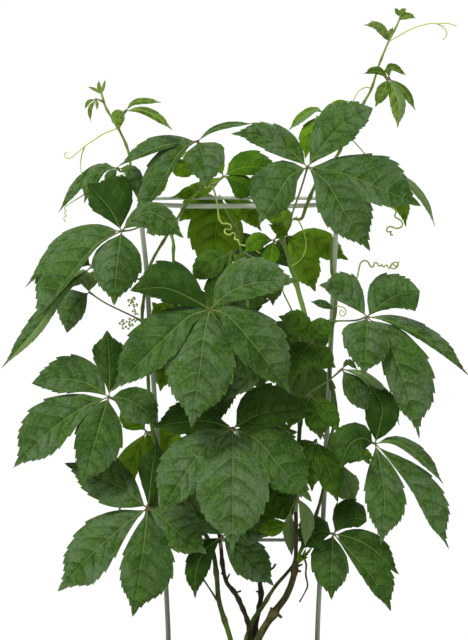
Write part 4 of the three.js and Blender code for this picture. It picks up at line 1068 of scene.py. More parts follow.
class Foliage:
    """Gathers the points and faces of one leaf, with what its finish reads at each point."""

    def __init__(self):
        self.points = []
        self.marks = []
        self.faces = []
        self.skins = []

    def add(self, spot, vein=0.0, across=0.0, gap=0.0, tone=0.0, joint=0.0):
        self.points.append(spot)
        self.marks.append((vein, across, gap, tone, joint))
        return len(self.points) - 1

    def face(self, corners, skin, turned):
        corners = list(dict.fromkeys(corners))
        if len(corners) > 2:
            self.faces.append(corners[::-1] if turned else corners)
            self.skins.append(skin)

    def stalk(self, rod):
        """Takes in a finished rod as the third finish of the leaf."""
        first = len(self.points)
        joints = rod.data.attributes["joint"].data
        for vertex, mark in zip(rod.data.vertices, joints):
            self.add(vertex.co.copy(), joint=mark.value)
        for polygon in rod.data.polygons:
            self.faces.append([first + i for i in polygon.vertices])
            self.skins.append(2)
        bpy.data.objects.remove(rod)

    def mesh(self, name):
        mesh = bpy.data.meshes.new(name)
        mesh.from_pydata(self.points, [], self.faces)
        for column, label in enumerate(("vein", "across", "rib_gap", "tone", "joint")):
            marks = mesh.attributes.new(label, "FLOAT", "POINT")
            marks.data.foreach_set("value", [mark[column] for mark in self.marks])
        mesh.polygons.foreach_set("material_index", self.skins)
        smooth(mesh)
        return mesh


class Half:
    """One half of a blade: hand 1 is left of the midrib and -1 right of it, from the foot on."""

    def __init__(self, path, hand, breadth, peak, tilt, drip, bare, shade, wave, curl):
        self.path = path
        self.hand = hand
        self.breadth = breadth
        self.peak = peak
        self.tilt = tilt
        self.drip = drip
        self.bare = bare
        self.shade = shade
        self.wave = wave
        self.curl = curl
        self.teeth = count_along(path.length, **TEETH)
        self.veins = count_along(path.length, **VEINS)
        calm = 1 / (1 + 4 * max(0, abs(tilt) - CALM_TILT))
        self.room = min(1, breadth / FULL_RELIEF_HALF) * calm

    def relief(self, w, s, out, reach):
        """How far the fields, the midrib, the arch and the waves of the edge lift the blade."""
        field = abs(math.sin(math.pi * (w * self.veins - VEIN_START)))
        quilt = QUILT * self.room * field**0.8 * ease(s, 0, 0.2) * (1 - s) ** 0.6
        quilt *= math.sin(math.pi * w) ** 0.5
        sink = -RIB_SINK * self.room * bell(out, RIB_REACH) * (1 - w) ** 0.4
        crest = CREST * reach * math.sin(math.pi * s**0.75)
        ripple = RIPPLE * self.room * s**3 * math.sin(self.wave + self.hand + RIPPLE_TURN * w)
        ripple *= math.sin(math.pi * w)
        roll = self.curl * CURL * self.room * s**2 * self.hand
        return quilt + sink + crest + ripple + roll

    def place(self, w, s):
        """The upper and lower point at share w of the rib's length and share s of the way out."""
        # Each tooth rises slowly to its point and falls off steeply on the tip's side.
        phase = w * self.teeth % 1
        point = phase / TOOTH_POINT if phase <= TOOTH_POINT + 0.01 else (1 - phase) / (1 - TOOTH_POINT)
        hang = s**5 * (ease(w, *PLAIN_FOOT) * ease(1 - w, *PLAIN_TIP))
        # On its way out each row leans towards the tip, as the side veins do, and u is where it is.
        u = w + VEIN_LEAN * w * (1 - w) ** 2 * s**1.3 + TOOTH_LEAN / self.teeth * (point - 0.5) * hang
        u = min(max(u, 0), 1)
        way = self.bare + (1 - self.bare) * u
        along = self.path.along(way)
        flat = math.hypot(along.x, along.z)
        side = Vector((-along.z / flat, self.tilt * along.x / flat, along.x / flat))
        up = side.cross(along).normalized()
        if up.y * self.tilt > 0:
            up.negate()
        full = fullness(u, self.peak) * (NECK_WIDTH + (1 - NECK_WIDTH) * ease(u, 0, NECK))
        full *= 1 - self.drip * ease(u, *DRIP_TIP)
        reach = self.breadth * full + FOOT_HALF * (1 - u)
        out = s * reach + min(DEEPEST_TOOTH, TOOTH_DEPTH * self.breadth) * (2 * point - 1) * hang
        spot = self.path.at(way) + side * (self.hand * out)
        spot.y += math.copysign(EDGE_DROOP * out, self.tilt)
        spot += up * self.relief(w, s, out, reach)
        thick = BLADE_THICK * (1 - s**4) * (1 - w**8)
        rib = RIB_MARK_TAPER * (1 - w) ** 0.7 + RIB_MARK_TIP
        rib *= min(1, 0.35 + self.path.length / FULL_RIB_LENGTH)
        marks = (w * self.veins - VEIN_START, s * self.hand, out / MM / rib, self.shade)
        return spot, spot - up * thick, marks

    def grow(self, foliage):
        """Adds the points, and gives the rows of their numbers on the upper and the lower face."""
        top, under = [], []
        for i in range(self.teeth):
            for phase in TOOTH_STEPS:
                row = []
                for s in SHARES:
                    high, low, marks = self.place((i + phase) / self.teeth, s)
                    row.append((foliage.add(high, *marks), foliage.add(low, *marks)))
                top.append([pair[0] for pair in row])
                under.append([pair[1] for pair in row])
        for rows in (top, under):
            rows.append([foliage.add(self.path.at(1), self.veins, 0, 0, self.shade)] * len(SHARES))
        return top, under


def leaflet(foliage, rib, wide, tilt, chance, peak=(0.5, 0.5), drip=0.4, bare=0.0, tone=None, turned=None):
    """Adds one blade. wide and peak hold how wide it is, and where, left and right of its midrib.

    drip narrows the tip, bare is the share of the rib below the blade, tone goes from dark 0 to
    light 1 and carries painted light and shade as well as the leaflet's own colour, and turned names
    the half that shows its underside to the front.
    """
    path = Path(rib)
    usual, wave, curl, lean = (chance.uniform(*limits) for limits in LEAFLET_CHANCES)
    facing = 1 if tilt > 0 else -1
    for hand in (1, -1):
        right = hand < 0
        # lean paints one half lighter and the other darker: painted light and shade on the leaflet's
        # halves.
        shade = (usual if tone is None else tone) + hand * lean
        half = Half(path, hand, wide[right] * MM, peak[right], tilt, drip, bare, shade, wave, curl)
        top, under = half.grow(foliage)
        top_skin = 1 if turned in (hand, "both") else 0
        for rows, skin, way in ((top, top_skin, 1), (under, 1, -1)):
            for near, far in zip(rows, rows[1:]):
                for i in range(len(SHARES) - 1):
                    corners = [near[i], near[i + 1], far[i + 1], far[i]]
                    foliage.face(corners, skin, turned=hand * way * facing < 0)


def stem_spot(name, x, y):
    """Where a stem passes a place in the picture."""
    spots = [stem_paths[name].at(i / STEM_STEPS) for i in range(STEM_STEPS + 1)]
    return min(spots, key=lambda spot: (spot - seen(x, y, spot.y / MM)).length)


def stalk_chains(hub, stem, joint, rear, ribs, bares):
    """The stalk from its rounded end at the hub into the stem, and the foot of each leaflet's rib."""
    foot = stem_spot(stem, *joint)
    elbow = foot + (hub - foot).normalized() * ELBOW
    bend = hub.lerp(elbow, BEND_SHARE) + Vector((0, -BOW if rear else BOW, -SAG)) * MM
    front = (sum(((rib[1] - hub).normalized() for rib in ribs), Vector()) / len(ribs)) * 0.4
    path = Path([hub, bend, elbow, foot])
    steps = max(8, round(path.length / STALK_STEP))
    size = min(1, LEAST_STALK + max((rib[-1] - hub).length for rib in ribs) / FULL_STALK_LEAF)
    chain = [(hub + front * away * size, thick * size, 1, 0) for away, thick in STALK_END]
    for i in range(steps + 1):
        share = i / steps
        distance = share * path.length
        left = path.length - distance
        at_hub, at_foot = bell(distance, HUB_SWELL["reach"]), bell(left, FOOT_SWELL["reach"])
        swell = HUB_SWELL["size"] * at_hub + FOOT_SWELL["size"] * at_foot
        near = max(bell(left, FOOT_MARK), 0.8 * at_hub)
        chain.append((path.at(share), (STALK_RADIUS + swell) * size, near, 0))
    chains = [chain]
    for rib, bare in zip(ribs, bares):
        line = Path(rib)
        thin = min(1, 0.25 + line.length / FULL_RIB_LENGTH)
        step = 0.025 + bare / 5
        chains.append([
            (line.at(i * step), (RIB_FOOT_RADIUS - RIB_FOOT_TAPER * i) * thin, max(0, 1 - 0.35 * i), 0)
            for i in range(RIB_FOOT_POINTS)
        ])
    return chains


def blade_look(dark, light, painted_sheen_tone, vein_tone, gloss, shine, grain=1.0):
    """The upper face of a leaf: veins lighter than the fields, fields mottled, a soft sheen painted in
    grey-green patches, and painted shade in the creases beside the side veins.
    """
    def look(nodes):
        across = abs(nodes.mark("across"))
        tone = nodes.mark("tone")
        past = (nodes.mark("vein") + 0.5).fraction() - 0.5
        side_vein = abs(past).ease(0.05, 0.012) * across.ease(1.02, 0.4)
        # Dark bands just past each side vein, on its tip side, are painted shade in the creases. The same
        # mask also sinks the bump there.
        crease_with_painted_shade = past.ease(0.0, 0.035) * (past + across * 0.35).ease(0.58, 0.12) * across.ease(0.95, 0.4)
        midrib = nodes.mark("rib_gap").ease(1.15, 0.5)
        # Grey-green patches of painted sheen, fainter on darker leaflets.
        painted_sheen_patches = nodes.noise(42, detail=5, roughness=0.7).ease(0.42, 0.6) * tone.ease(0.3, 0.8)
        puckers = nodes.noise(125, detail=2)
        net = nodes.cells(430, "DISTANCE_TO_EDGE").ease(0.09, 0.01)
        mottle = nodes.noise(55, detail=4)
        fields = nodes.noise(340, detail=3)
        body = nodes.mix(mottle.ease(0.35, 0.65) * 0.7 + tone - 0.35, dark, light)
        body = nodes.mix(painted_sheen_patches * 0.75, body, painted_sheen_tone)
        # Small patches lighten to the painted sheen colour, and others turn darker.
        body = nodes.mix(fields.ease(0.5, 0.62) * (0.45 * grain) * tone, body, painted_sheen_tone)
        body = nodes.mix(fields.ease(0.5, 0.38) * (0.4 * grain), body, dark)
        body = nodes.mix(crease_with_painted_shade * 0.66, body, dark)
        body = nodes.mix(net * (0.12 * grain), body, vein_tone)
        body = nodes.mix(side_vein * 0.22, body, vein_tone)
        body = nodes.mix(midrib * 0.7, body, vein_tone)
        relief = (fields * 0.5 + puckers * 1.8 - net * 0.3) * grain
        relief = relief - side_vein * 0.5 - crease_with_painted_shade * 0.8 - midrib
        return {
            "Base Color": body,
            "Roughness": gloss + mottle * 0.12,
            "Specular IOR Level": shine,
            "Normal": nodes.bump(relief, 0.0008),
        }
    return look


def under_look(pale, light, vein_tone):
    """The lower face of a leaf: paler and duller, with its veins standing out."""
    def look(nodes):
        off = abs((nodes.mark("vein") + 0.5).fraction() - 0.5)
        lines = off.ease(0.06, 0.015) * 0.8 + nodes.mark("rib_gap").ease(1.3, 0.5)
        net = nodes.cells(420, "DISTANCE_TO_EDGE").ease(0.1, 0.02)
        mottle = nodes.noise(70, detail=3)
        body = nodes.mix(mottle, pale, light)
        body = nodes.mix(net * 0.3 + lines * 0.5, body, vein_tone)
        return {
            "Base Color": body,
            "Roughness": 0.68,
            "Specular IOR Level": 0.1,
            "Normal": nodes.bump(lines + net * 0.2, 0.00025),
        }
    return look


def stalk_look(nodes):
    joint = nodes.mark("joint")
    blush = nodes.noise(22).ease(0.42, 0.62)
    streaks = nodes.noise(300, detail=3, stretch=(1, 1, 0.2))
    tone = nodes.mix(streaks, srgb(70, 98, 34), srgb(104, 130, 58))
    tone = nodes.mix(blush * 0.6, tone, srgb(92, 56, 36))
    return {
        "Base Color": nodes.mix(joint * 0.55, tone, srgb(88, 70, 42)),
        "Roughness": 0.5,
        "Specular IOR Level": 0.3,
        "Normal": nodes.bump(streaks, 0.0002),
    }


stalk_green = finish("leaf_stalk", stalk_look)
# Each finish gives the dark and light leaf colours, the painted sheen colour, the vein colour, roughness,
# specular level and grain.
leaf_finishes = {
    "deep": ("leaf", finish("leaf_deep", blade_look(
        srgb(24, 52, 3), srgb(58, 87, 28), srgb(77, 98, 67), srgb(98, 124, 58), 0.5, 0.07,
    ))),
    "dim": ("leaf", finish("leaf_dim", blade_look(
        srgb(28, 54, 4), srgb(56, 88, 16), srgb(66, 94, 34), srgb(84, 110, 42), 0.55, 0.06,
    ))),
    # Yellow-green finish: partly the leaves' own lighter green, and partly painted light shining through
    # them from behind.
    "fresh": ("leaf_light", finish("leaf_fresh", blade_look(
        srgb(42, 76, 3), srgb(84, 118, 12), srgb(90, 122, 26), srgb(108, 136, 40), 0.55, 0.06, 0.6,
    ))),
    "young": ("young_growth", finish("leaf_young", blade_look(
        srgb(42, 68, 4), srgb(86, 112, 26), srgb(108, 126, 66), srgb(132, 150, 78), 0.5, 0.08, 0.3,
    ))),
}
leaf_under = finish("leaf_under", under_look(srgb(64, 90, 38), srgb(88, 110, 62), srgb(114, 136, 84)))
shaded_under = finish("leaf_under_shaded", under_look(
    srgb(34, 58, 12), srgb(56, 80, 28), srgb(86, 108, 52),
))


def blade(left, right, *rib, **shape):
    """One leaflet: how wide it is in mm left and right of its midrib, and where the midrib runs."""
    return dict(rib=rib, wide=(left, right), **shape)


def grow_leaf(name, tone, hub, stem, joint, blades, rear=False):
    """Grows one leaf from its stem. A rear leaf shows its upper face to the back."""
    centre = seen(*hub)
    foliage = Foliage()
    ribs = []
    for i, plan in enumerate(blades):
        rib = [centre.copy()] + [seen(*place) for place in plan["rib"]]
        rib[0] += (rib[1] - centre).normalized() * HUB_GAP * MM
        ribs.append(rib)
        shape = {"tilt": -LEAF_TILT if rear else LEAF_TILT, **plan, "rib": rib}
        leaflet(foliage, chance=random.Random(f"{name} {i}"), **shape)
    slot, skin = leaf_finishes[tone]
    bares = [plan.get("bare", 0) for plan in blades]
    chains = stalk_chains(centre, stem, joint, rear, ribs, bares)
    foliage.stalk(rods(f"{name}_stalk", chains, STALK_SIDES, stalk_green))
    under = shaded_under if rear else leaf_under
    leaf = put(f"{name}_grown", foliage.mesh(f"{name}_grown"), skin, under, stalk_green)
    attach(leaf, "root")
    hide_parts(name)


# Tones given to single leaflets copy how light or dark each leaflet looks. Besides its own colour, each
# carries painted light and shade, lowest where a leaflet lies in shadow.
grow_leaf("leaf_front_upper", "deep", (210, 309.5, -78), "stem_woody_left", (184, 330), [
    blade(12, 27, (190, 298, -80), (165, 288, -83), (130, 290.5, -89), peak=(0.5, 0.56), drip=0.2,
          tone=-0.1),
    blade(26, 14, (230, 292, -82), (255, 283, -88), (300, 281, -98)),
    blade(18, 28, (190, 316, -84), (160, 343, -92), (110, 393, -88), tone=0.55),
    blade(33, 33, (205, 332, -90), (200, 368, -101), (191.3, 428, -103), tone=0.8),
    blade(30, 19, (225, 314, -86), (255, 346, -98), (291, 394.4, -94), tone=0.55),
    blade(14, 15, (236, 350, -80), (247, 376, -75), (224, 402, -72)),
])
grow_leaf("leaf_front_lower", "deep", (233, 428, -52), "stem_dark_middle", (249.5, 445), [
    blade(11.5, 18.5, (205, 421, -50), (180, 422.5, -54), (152.3, 427, -60), peak=(0.62, 0.62), tone=0.1),
    blade(27, 14, (258, 415, -50), (285, 410, -56), (314, 410.5, -62), peak=(0.42, 0.42), tone=0.2),
    blade(18, 28, (212, 440, -64), (190, 467, -72), (158.6, 517, -80), peak=(0.55, 0.55)),
    blade(35, 36, (233, 460, -76), (233, 490, -86), (232.3, 555, -92), drip=0.62, tone=0.85),
    blade(29, 22, (257, 440, -62), (276, 462, -70), (312, 502, -78), peak=(0.48, 0.48), tone=0.5),
])
grow_leaf("leaf_left_middle", "deep", (109, 397, -34), "stem_green_left", (150, 412), [
    blade(16, 17, (109.5, 370, -30), (107, 330, -34), peak=(0.7, 0.64), tone=0.1),
    blade(14, 24, (85, 382.5, -31), (60, 379, -30), (31.5, 383.5, -32), peak=(0.6, 0.5), drip=0, tone=0.8),
    blade(18.5, 29, (84, 407, -43), (50, 431, -51), (13, 468, -46), peak=(0.64, 0.56), tone=0.8),
    blade(26, 21, (103, 415, -48), (95.5, 440, -56), (82, 488.5, -60), peak=(0.48, 0.42)),
    blade(17, 20, (122, 398, -34), (140, 406, -34), (158, 427, -36)),
])
grow_leaf("leaf_left_low", "deep", (147.5, 508, -36), "stem_green_left", (186, 500), [
    blade(14, 14, (150, 490, -31), (152, 470, -26), (156, 443, -22), peak=(0.66, 0.6), tone=0),
    blade(22, 24, (122, 488, -34), (92, 475, -34), (64, 463, -32), peak=(0.42, 0.6), tone=0.85),
    blade(21.5, 26, (122, 527, -44), (90, 556, -48), (57.5, 591.5, -46), peak=(0.7, 0.5), tone=0.9),
    blade(32, 20, (146, 525, -44), (142, 560, -54), (132.5, 617, -56), peak=(0.54, 0.56)),
    blade(25, 16, (161, 517, -38), (182, 536, -42), (207, 554, -46), peak=(0.5, 0.54), tone=1.1),
])
grow_leaf("leaf_right_middle", "deep", (367, 316.7, -48), "stem_green_right", (338.5, 322), [
    blade(8, 21, (354, 303, -46), (338, 291, -46), (319, 285, -48), peak=(0.6, 0.6), tone=0.8),
    blade(25, 16, (384, 303, -46), (398, 295, -48), (420, 291, -54), peak=(0.5, 0.8), drip=-0.4, tone=0.5),
    blade(12, 4, (385, 319.5, -47), (412, 331, -48), (440, 349, -49), (470, 377, -51), tilt=1.1),
    blade(31, 16, (386, 337, -54), (396, 360, -58), (408, 394, -62), (419.7, 440, -65), peak=(0.52, 0.52),
          drip=0.62, tone=0.8),
    blade(23, 24, (366.5, 340, -64), (363, 376, -70), peak=(0.5, 0.34), tone=0.75),
])
grow_leaf("leaf_right_low", "deep", (375, 443.5, -34), "stem_green_right", (333, 425), [
    blade(17, 17, (380, 424, -38), (382, 406, -40), (369, 384, -42), tone=0),
    blade(27, 18, (362, 438, -44), (350, 444, -50), (340, 468, -56), tone=0.3),
    blade(21, 19, (381, 468, -44), (384.5, 500, -52), (381, 545, -54), peak=(0.58, 0.5), tone=0.75),
    blade(22, 6, (395, 465, -40), (417, 491, -44), (450, 551, -48), peak=(0.57, 0.74), drip=0.62),
    blade(8.5, 4.5, (392, 441, -36), (410, 449, -38), (428, 465, -42), (444, 485, -44), tilt=1.1, tone=1),
])
grow_leaf("leaf_right_base", "deep", (333.4, 533.8, -20), "stem_green_right", (312, 524), [
    blade(20, 9, (345, 523, -16), (356, 518, -16), (367, 521, -18), peak=(0.55, 0.75), drip=-0.2, tone=0),
    blade(17, 18, (321, 531, -22), (310, 538, -26), (301, 549, -28), tone=0.1),
    blade(17, 21, (332, 555, -30), (331.5, 578, -36), (331.5, 600, -38), peak=(0.5, 0.4), tone=0.45),
    blade(19, 8, (355, 557, -30), (372, 577, -36), (391, 611.5, -38), peak=(0.65, 0.65), tone=0.4),
    blade(14, 15, (352, 538, -22), (370, 547, -24), (386, 561, -28), (399.4, 575, -30), tone=0.3),
])
grow_leaf("leaf_right_top", "deep", (307.5, 167, -40), "stem_woody_right", (290, 220), [
    blade(12, 17.5, (294, 154, -40), (276, 142, -40), (254, 135, -44), (230.5, 133.8, -48),
          peak=(0.48, 0.48)),
    blade(24, 18, (320, 150, -37), (342, 125, -33), (373, 108, -30), peak=(0.58, 0.58), drip=-0.3),
    blade(32, 17, (335, 171, -42), (365, 182, -44), (421, 206, -52), peak=(0.6, 0.6)),
    blade(30, 22, (327, 183, -50), (343, 210, -58), (370.5, 251.5, -60), tone=0.6),
    blade(15, 31, (289, 177, -50), (277, 197, -56), (259, 224, -62), peak=(0.54, 0.54), tone=0.55),
])
grow_leaf("leaf_right_top_behind", "fresh", (325, 114, 26), "shoot_right", (343, 143), [
    blade(5, 5, (316, 109, 26), (303, 116, 24), (288, 131, 22), tilt=1.5, turned=1),
    blade(9, 12, (312, 134, 20), (305, 159, 18)),
    blade(4, 5, (337, 104, 30), (350, 101, 30)),
])
grow_leaf("leaf_right_top_outer", "fresh", (368, 168, 30), "shoot_right", (330, 164), [
    blade(4, 5, (405, 180, 26), (425, 201, 22), (436, 229, 20), tilt=1.5, turned="both"),
    blade(10, 10, (390, 186, 27), (402, 206, 24), (406, 228, 20)),
])
grow_leaf("leaf_left_upper", "deep", (121.5, 231, -44), "stem_woody_left", (158, 219), [
    blade(11, 10, (100, 230.5, -42), (66, 242, -44), (46, 263, -48), (24, 289, -54), peak=(0.4, 0.4),
          tone=1.05),
    blade(4, 34, (97, 244, -52), (68, 278, -60), (33, 322, -62), tone=1),
    blade(24, 25, (119, 250, -54), (116, 275, -61), (114, 306, -64), peak=(0.45, 0.45), tone=0.6),
    blade(11, 21, (134, 218, -46), (150, 212, -52), (167, 221, -56), (184, 238, -60), peak=(0.55, 0.55)),
    blade(14, 33, (110, 209, -38), (87, 183, -34), peak=(0.62, 0.62), tone=0),
])
grow_leaf("leaf_left_drooping", "deep", (92, 266, -16), "stem_green_left", (147, 282), [
    blade(6.5, 11, (62, 294, -24), (38, 326, -30), (0, 370, -34), peak=(0.6, 0.55), turned=1),
    blade(14, 14, (75, 258, -16), (50, 268, -20)),
])
grow_leaf("leaf_left_crown", "deep", (198, 141, -22), "stem_green_left", (201, 190), [
    blade(4, 13, (180, 142.5, -22), (160, 147, -24), (140, 155, -28), (117, 167, -32), tilt=1.2, tone=0.6),
    blade(4, 20, (184, 148, -26), (167, 172, -30), (150, 200, -26), (129, 222, -22), peak=(0.42, 0.42),
          tone=0.65),
    blade(22, 20, (204, 160, -40), (207, 188, -46), peak=(0.35, 0.35), tone=0.75),
    blade(3.5, 3.5, (210, 131, -20), (228, 125, -22), (255, 123.5, -26), tilt=1.1),
])
grow_leaf("leaf_left_outer", "deep", (118, 168, -12), "shoot_left", (131, 176), [
    blade(3, 12, (104, 170, -14), (93, 186, -18), (84, 203.6, -22)),
    blade(5, 6, (100, 167, -8), (80, 183, -6), (58, 213, -8)),
    blade(5, 5, (110, 176, -17), (104, 183, -22)),
    blade(9, 8, (130, 171, -13), (139, 197, -13)),
])
grow_leaf("leaf_left_small", "deep", (89, 292, 14), "stem_green_left", (142.2, 321), [
    blade(6, 6, (92, 279, 14), (97, 269, 14), turned="both"),
    blade(4, 11, (82, 280, 12), (70, 288, 10), peak=(0.5, 0.4), turned="both"),
    blade(11, 19, (80, 302, 10), (73, 312, 8), (67, 333, 6), peak=(0.5, 0.36), drip=0, tone=1),
])
grow_leaf("leaf_shoot_right", "young", (389, 78, -6), "shoot_right", (376, 72), [
    blade(2, 6, (377, 72, -10), (363.7, 73.8, -14), tone=0.2),
    blade(6, 1.5, (391, 69, -8), (405.6, 75, -12), peak=(0.35, 0.5), drip=-0.2, tone=0.3),
    blade(6, 7, (383, 92, -16), (375, 107.5, -18), tone=0.4),
    blade(7.5, 8, (398, 102, -18), (397.7, 128.5, -22), tone=0.5, turned=1),
    blade(4.5, 4, (405, 92, -12), (415.7, 111, -16), tone=0.2),
])
grow_leaf("leaf_shoot_left", "young", (125.6, 110.8, -6), "shoot_left", (111, 116.5), [
    blade(3.5, 3.2, (133, 103, -6), (147, 101, -8), (162, 102.5, -10), tone=0.35),
    blade(5, 4, (140, 110, -16), (155, 116, -28), (173, 130.2, -44), tone=0.35),
    blade(6, 8, (119, 117, -18), (119.5, 130, -20)),
])
grow_leaf("leaf_shoot_left_small", "young", (96, 99, -16), "shoot_left", (103.5, 102), [
    blade(1.8, 2, (89, 101.5, -20), (84.5, 109.5, -24)),
    blade(2.2, 2, (90, 109, -22), (90.5, 122, -24)),
    blade(1.6, 1.6, (97, 104, -22), (97, 110.5, -24)),
])
grow_leaf("leaf_back_crown", "fresh", (223.7, 176, 36), "stem_green_left", (203, 188.5), [
    blade(18, 9, (240, 168, 34), (258, 167, 32), (282, 172, 30), peak=(0.45, 0.45), tone=0.05),
    blade(9, 15, (240, 182, 30), (257, 196, 28), peak=(0.5, 0.6), tone=0),
    blade(8, 8, (203, 188, 32), (170, 198, 30)),
    blade(9, 9, (214, 160, 38), (200, 152, 36)),
])
grow_leaf("leaf_back_large", "fresh", (220, 196, 46), "stem_dark_middle", (238, 235), [
    blade(28, 29, (216, 232, 44), (213, 276, 44), peak=(0.42, 0.42), tone=0.9),
    blade(13, 13, (196, 206, 48), (178, 222, 46)),
    blade(11, 11, (246, 210, 48), (262, 232, 46)),
])
grow_leaf("leaf_inner_olive", "dim", (232, 252, 2), "stem_dark_middle", (243, 262), [
    blade(14, 14, (212, 262, -2), (190, 281, -6)),
    blade(14, 15, (222, 280, -6), (212, 328, -18)),
    blade(12, 12, (246, 268, -4), (256, 290, -10)),
])
grow_leaf("leaf_inner_small", "fresh", (274, 240, -22), "stem_woody_right", (282, 241), [
    blade(8, 9, (258, 241, -27), (244, 253, -32), tone=0.15),
    blade(9, 9, (271, 252, -28), (268, 268, -34), tone=0.3),
    blade(6, 6, (282, 232, -22), (268, 224, -24)),
])
grow_leaf("leaf_back_right", "fresh", (288, 236, 42), "stem_woody_right", (284, 228), [
    blade(14, 14, (312, 240, 46), (348.6, 260, 46), tone=1),
    blade(16, 16, (303, 262, 38), (315.5, 292, 36), tone=1.15),
    blade(12, 12, (280, 216, 44), (258, 208, 44)),
])
grow_leaf("leaf_back_left", "fresh", (166, 160, 58), "shoot_left", (133, 187), [
    blade(9, 10, (180, 167, 60), (197, 175, 60)),
    blade(10, 10, (158, 180, 60), (150, 203, 58)),
    blade(6, 8, (176, 152, 60), (189, 147, 60)),
])
grow_leaf("leaf_inner_right", "dim", (312, 341, -26), "stem_woody_right", (306, 345), [
    blade(12, 13, (298, 324, -30), (278, 316, -36), tone=1.1),
    blade(11, 11, (322, 328, -30), (333, 322, -34), tone=0.6),
    blade(12, 12, (320, 355, -32), (336, 368, -38), tone=0.5),
    blade(15, 15, (301, 356, -34), (294, 377, -40), tone=0.35),
])
grow_leaf("leaf_inner_right_low", "deep", (342, 369, -22), "stem_woody_right", (302, 398), [
    blade(13, 12, (352, 385, -21), (362, 399, -19), (371, 414, -16), tone=0.9),
    blade(5, 7, (362, 374, -16), (380, 389, -10), (393, 405, -10), (400, 427, -12), tilt=1.5,
          turned="both"),
    blade(3, 3, (348, 362, -18), (358, 370, -16)),
])
grow_leaf("leaf_inner_low_right", "dim", (309.5, 395, -30), "stem_woody_right", (301, 412), [
    blade(13, 13, (317, 416, -36), (321, 440, -42)),
    blade(9, 9, (328, 412, -36), (339, 434, -44)),
    blade(12, 12, (296, 408, -42), (288, 430, -48)),
])
grow_leaf("leaf_hanging_right", "dim", (316, 440, -28), "stem_woody_right", (298.5, 446), [
    blade(14, 14, (329, 470, -36), (338, 503, -40), tone=0.35),
    blade(12, 12, (304, 450, -34), (290, 470, -40)),
    blade(11, 11, (312, 466, -38), (312, 492, -44)),
])
grow_leaf("leaf_back_right_low", "fresh", (343, 463, 42), "stem_green_right", (326, 474), [
    blade(14, 15, (344, 479, 38), (356, 503, 36), turned="both"),
    blade(8, 5, (360, 455, 40), (376, 460, 36)),
    blade(13, 13, (336, 446, 44), (322, 434, 44)),
    blade(9, 8, (352, 446, 44), (360, 430, 44)),
])
grow_leaf("leaf_hanging_middle", "fresh", (298, 497, -30), "stem_woody_right", (296, 512), [
    blade(8, 6, (306, 518, -30), (305, 546, -32), drip=0.1, turned="both"),
    blade(3.5, 9, (290.5, 512, -15), (292, 530, -5), (292, 556, -3), bare=0.3, drip=0, turned="both"),
    blade(8, 8, (290, 520, -30), (276, 527, -36), (257, 530, -40), bare=0.45, tone=0.4, drip=0),
])
grow_leaf("leaf_back_middle", "dim", (264, 478, 38), "stem_dark_middle", (249, 486), [
    blade(17, 17, (279, 500, 34), (293, 524, 32)),
    blade(16, 16, (262, 510, 34), (258, 540, 32)),
    blade(15, 15, (246, 492, 36), (232, 520, 34)),
    blade(15, 15, (286, 470, 40), (308, 474, 38)),
])
grow_leaf("leaf_low_middle", "deep", (222, 536, -26), "stem_woody_left", (220, 548), [
    blade(18, 18, (246, 556, -34), (274, 586, -38), tone=0.85),
    blade(12, 12, (204, 552, -33), (196, 572, -38), (195, 599, -40), tone=0),
    blade(12, 12, (210, 522, -26), (196, 508, -22)),
    blade(15, 15, (246, 530, -30), (270, 536, -34)),
])
grow_leaf("leaf_back_left_middle", "fresh", (146, 431, 48), "stem_green_left", (153, 437), [
    blade(8, 17, (130, 470, 46), (119, 513, 44), tone=1.2),
    blade(9, 11, (152, 452, 44), (152, 474, 42)),
    blade(13, 13, (168, 440, 46), (184, 452, 44), tone=1.2),
    blade(14, 14, (134, 418, 50), (122, 402, 50)),
])
grow_leaf("leaf_back_left_upper", "fresh", (170, 336, 40), "stem_green_left", (144.5, 338), [
    blade(14, 14, (165, 318, 40), (152, 302, 40)),
    blade(16, 16, (166, 362, 36), (160, 392, 34)),
    blade(17, 17, (192, 350, 38), (206, 378, 36)),
    blade(16, 16, (192, 320, 42), (214, 310, 42)),
])
grow_leaf("leaf_rear_upper", "deep", (216, 332, 84), "stem_dark_middle", (250, 345), [
    blade(20, 20, (190, 306, 88), (160, 300, 92)),
    blade(20, 20, (240, 306, 88), (270, 300, 92)),
    blade(20, 20, (184, 356, 92), (158, 386, 92)),
    blade(22, 23, (216, 372, 96), (217, 424, 96), peak=(0.6, 0.6), drip=0),
    blade(20, 20, (244, 360, 92), (268, 392, 92)),
], rear=True)
grow_leaf("leaf_rear_lower", "deep", (240, 450, 80), "stem_dark_middle", (249.5, 462), [
    blade(18, 18, (212, 434, 84), (182, 432, 88)),
    blade(18, 18, (266, 434, 84), (298, 432, 88)),
    blade(20, 20, (216, 480, 88), (190, 508, 90)),
    blade(23, 23, (242, 492, 92), (240, 536, 92)),
    blade(20, 20, (268, 476, 88), (292, 502, 90)),
], rear=True)
grow_leaf("leaf_rear_right", "deep", (306, 356, 66), "stem_woody_right", (304, 366), [
    blade(16, 16, (286, 336, 68), (262, 330, 72)),
    blade(14, 14, (318, 334, 68), (334, 318, 70)),
    blade(17, 17, (292, 384, 72), (276, 410, 74)),
    blade(17, 17, (318, 388, 72), (328, 424, 74)),
], rear=True)
grow_leaf("leaf_rear_left", "deep", (170, 470, 62), "stem_green_left", (175, 480), [
    blade(12, 15, (150, 452, 64), (128, 448, 66)),
    blade(15, 15, (190, 456, 64), (212, 452, 66)),
    blade(13, 10, (158, 502, 66), (144, 534, 68)),
    blade(17, 17, (188, 500, 66), (204, 530, 68)),
], rear=True)
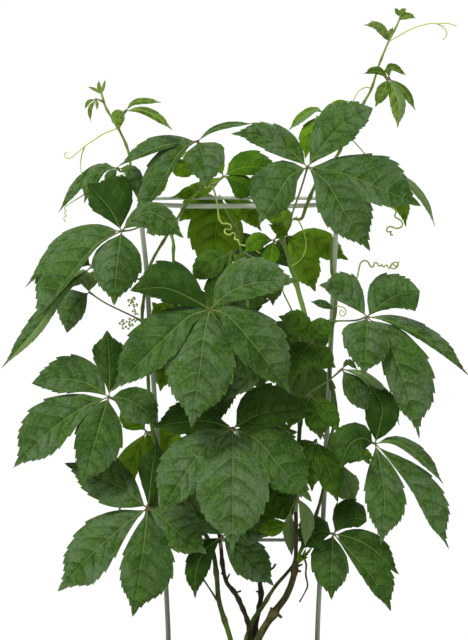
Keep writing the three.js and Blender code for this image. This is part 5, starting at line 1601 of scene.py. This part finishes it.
grow_leaf("leaf_rear_top", "deep", (268, 262, 70), "stem_dark_middle", (241, 252), [
    blade(17, 17, (246, 250, 74), (220, 250, 78)),
    blade(16, 16, (290, 252, 74), (312, 256, 76)),
    blade(18, 18, (252, 288, 76), (240, 318, 78)),
    blade(12, 12, (272, 286, 76), (273, 306, 78)),
], rear=True)


# ---------------------------------------------------------------------------------------------
# Tip leaves. Small leaves that are still unfolding, at the tips of the shoots and at a few joints
# of the right stems. They are plain blades that sit on the stem itself, as part of its one body.
TIP_LEAVES = {
    "shoot_left": ("young", [
        (3, [(101.5, 94, -12), (94, 89, -14), (87, 86.6, -16)]),
        (4, [(101.5, 94, -12), (99, 87, -12), (98.8, 80, -13)]),
        (3, [(101.5, 94, -12), (103.4, 87, -12), (105.5, 79, -12)]),
    ]),
    "shoot_right": ("young", [
        (5, [(400.5, 16.5, -6), (397, 11, -7), (394.8, 7.5, -8)]),
        (6, [(400.5, 16.5, -6), (403, 11, -7), (406.4, 8.3, -8)]),
        (7, [(399.5, 20, -5.5), (408, 15.5, -8), (416, 18.5, -10)]),
        (8, [(389, 41, -3), (377, 26, -6), (363, 25, -10)]),
        (7, [(389, 41, -3), (382, 28, -5), (370, 20, -8)]),
        (6, [(389, 41, -3), (384, 34, -8), (376.5, 31.5, -10)]),
        (6, [(389, 41, -3), (390, 34, -4), (393, 27, -6)]),
    ]),
    "stem_woody_right": ("fresh", [
        (2.4, [(297, 565, -13), (305, 556, -16), (314, 545, -18)]),
        (3.4, [(297, 563, -13), (299.6, 554, -17), (301, 545, -18)]),
        (3, [(298, 563, -13), (303.6, 555, -18), (306, 547, -19)]),
        (3.4, [(297, 562, -13), (302, 559, -19), (309, 557, -21)]),
    ]),
    "stem_green_right": ("deep", [
        (8, [(334, 309, 9), (323, 304, 5), (310.5, 301.5, 3)]),
    ]),
}

row = 0
for name, (tone, blades) in TIP_LEAVES.items():
    foliage = Foliage()
    for wide, places in blades:
        rib = [seen(*place) for place in places]
        leaflet(foliage, rib, (wide / 2, wide / 2), LEAF_TILT, random.Random(f"{name} tip {row}"))
        row += 1
    skin = leaf_finishes[tone][1]
    tips = put(f"{name}_tips", foliage.mesh(f"{name}_tips"), skin, leaf_under, stalk_green)
    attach(tips, "root")
    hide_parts(name)
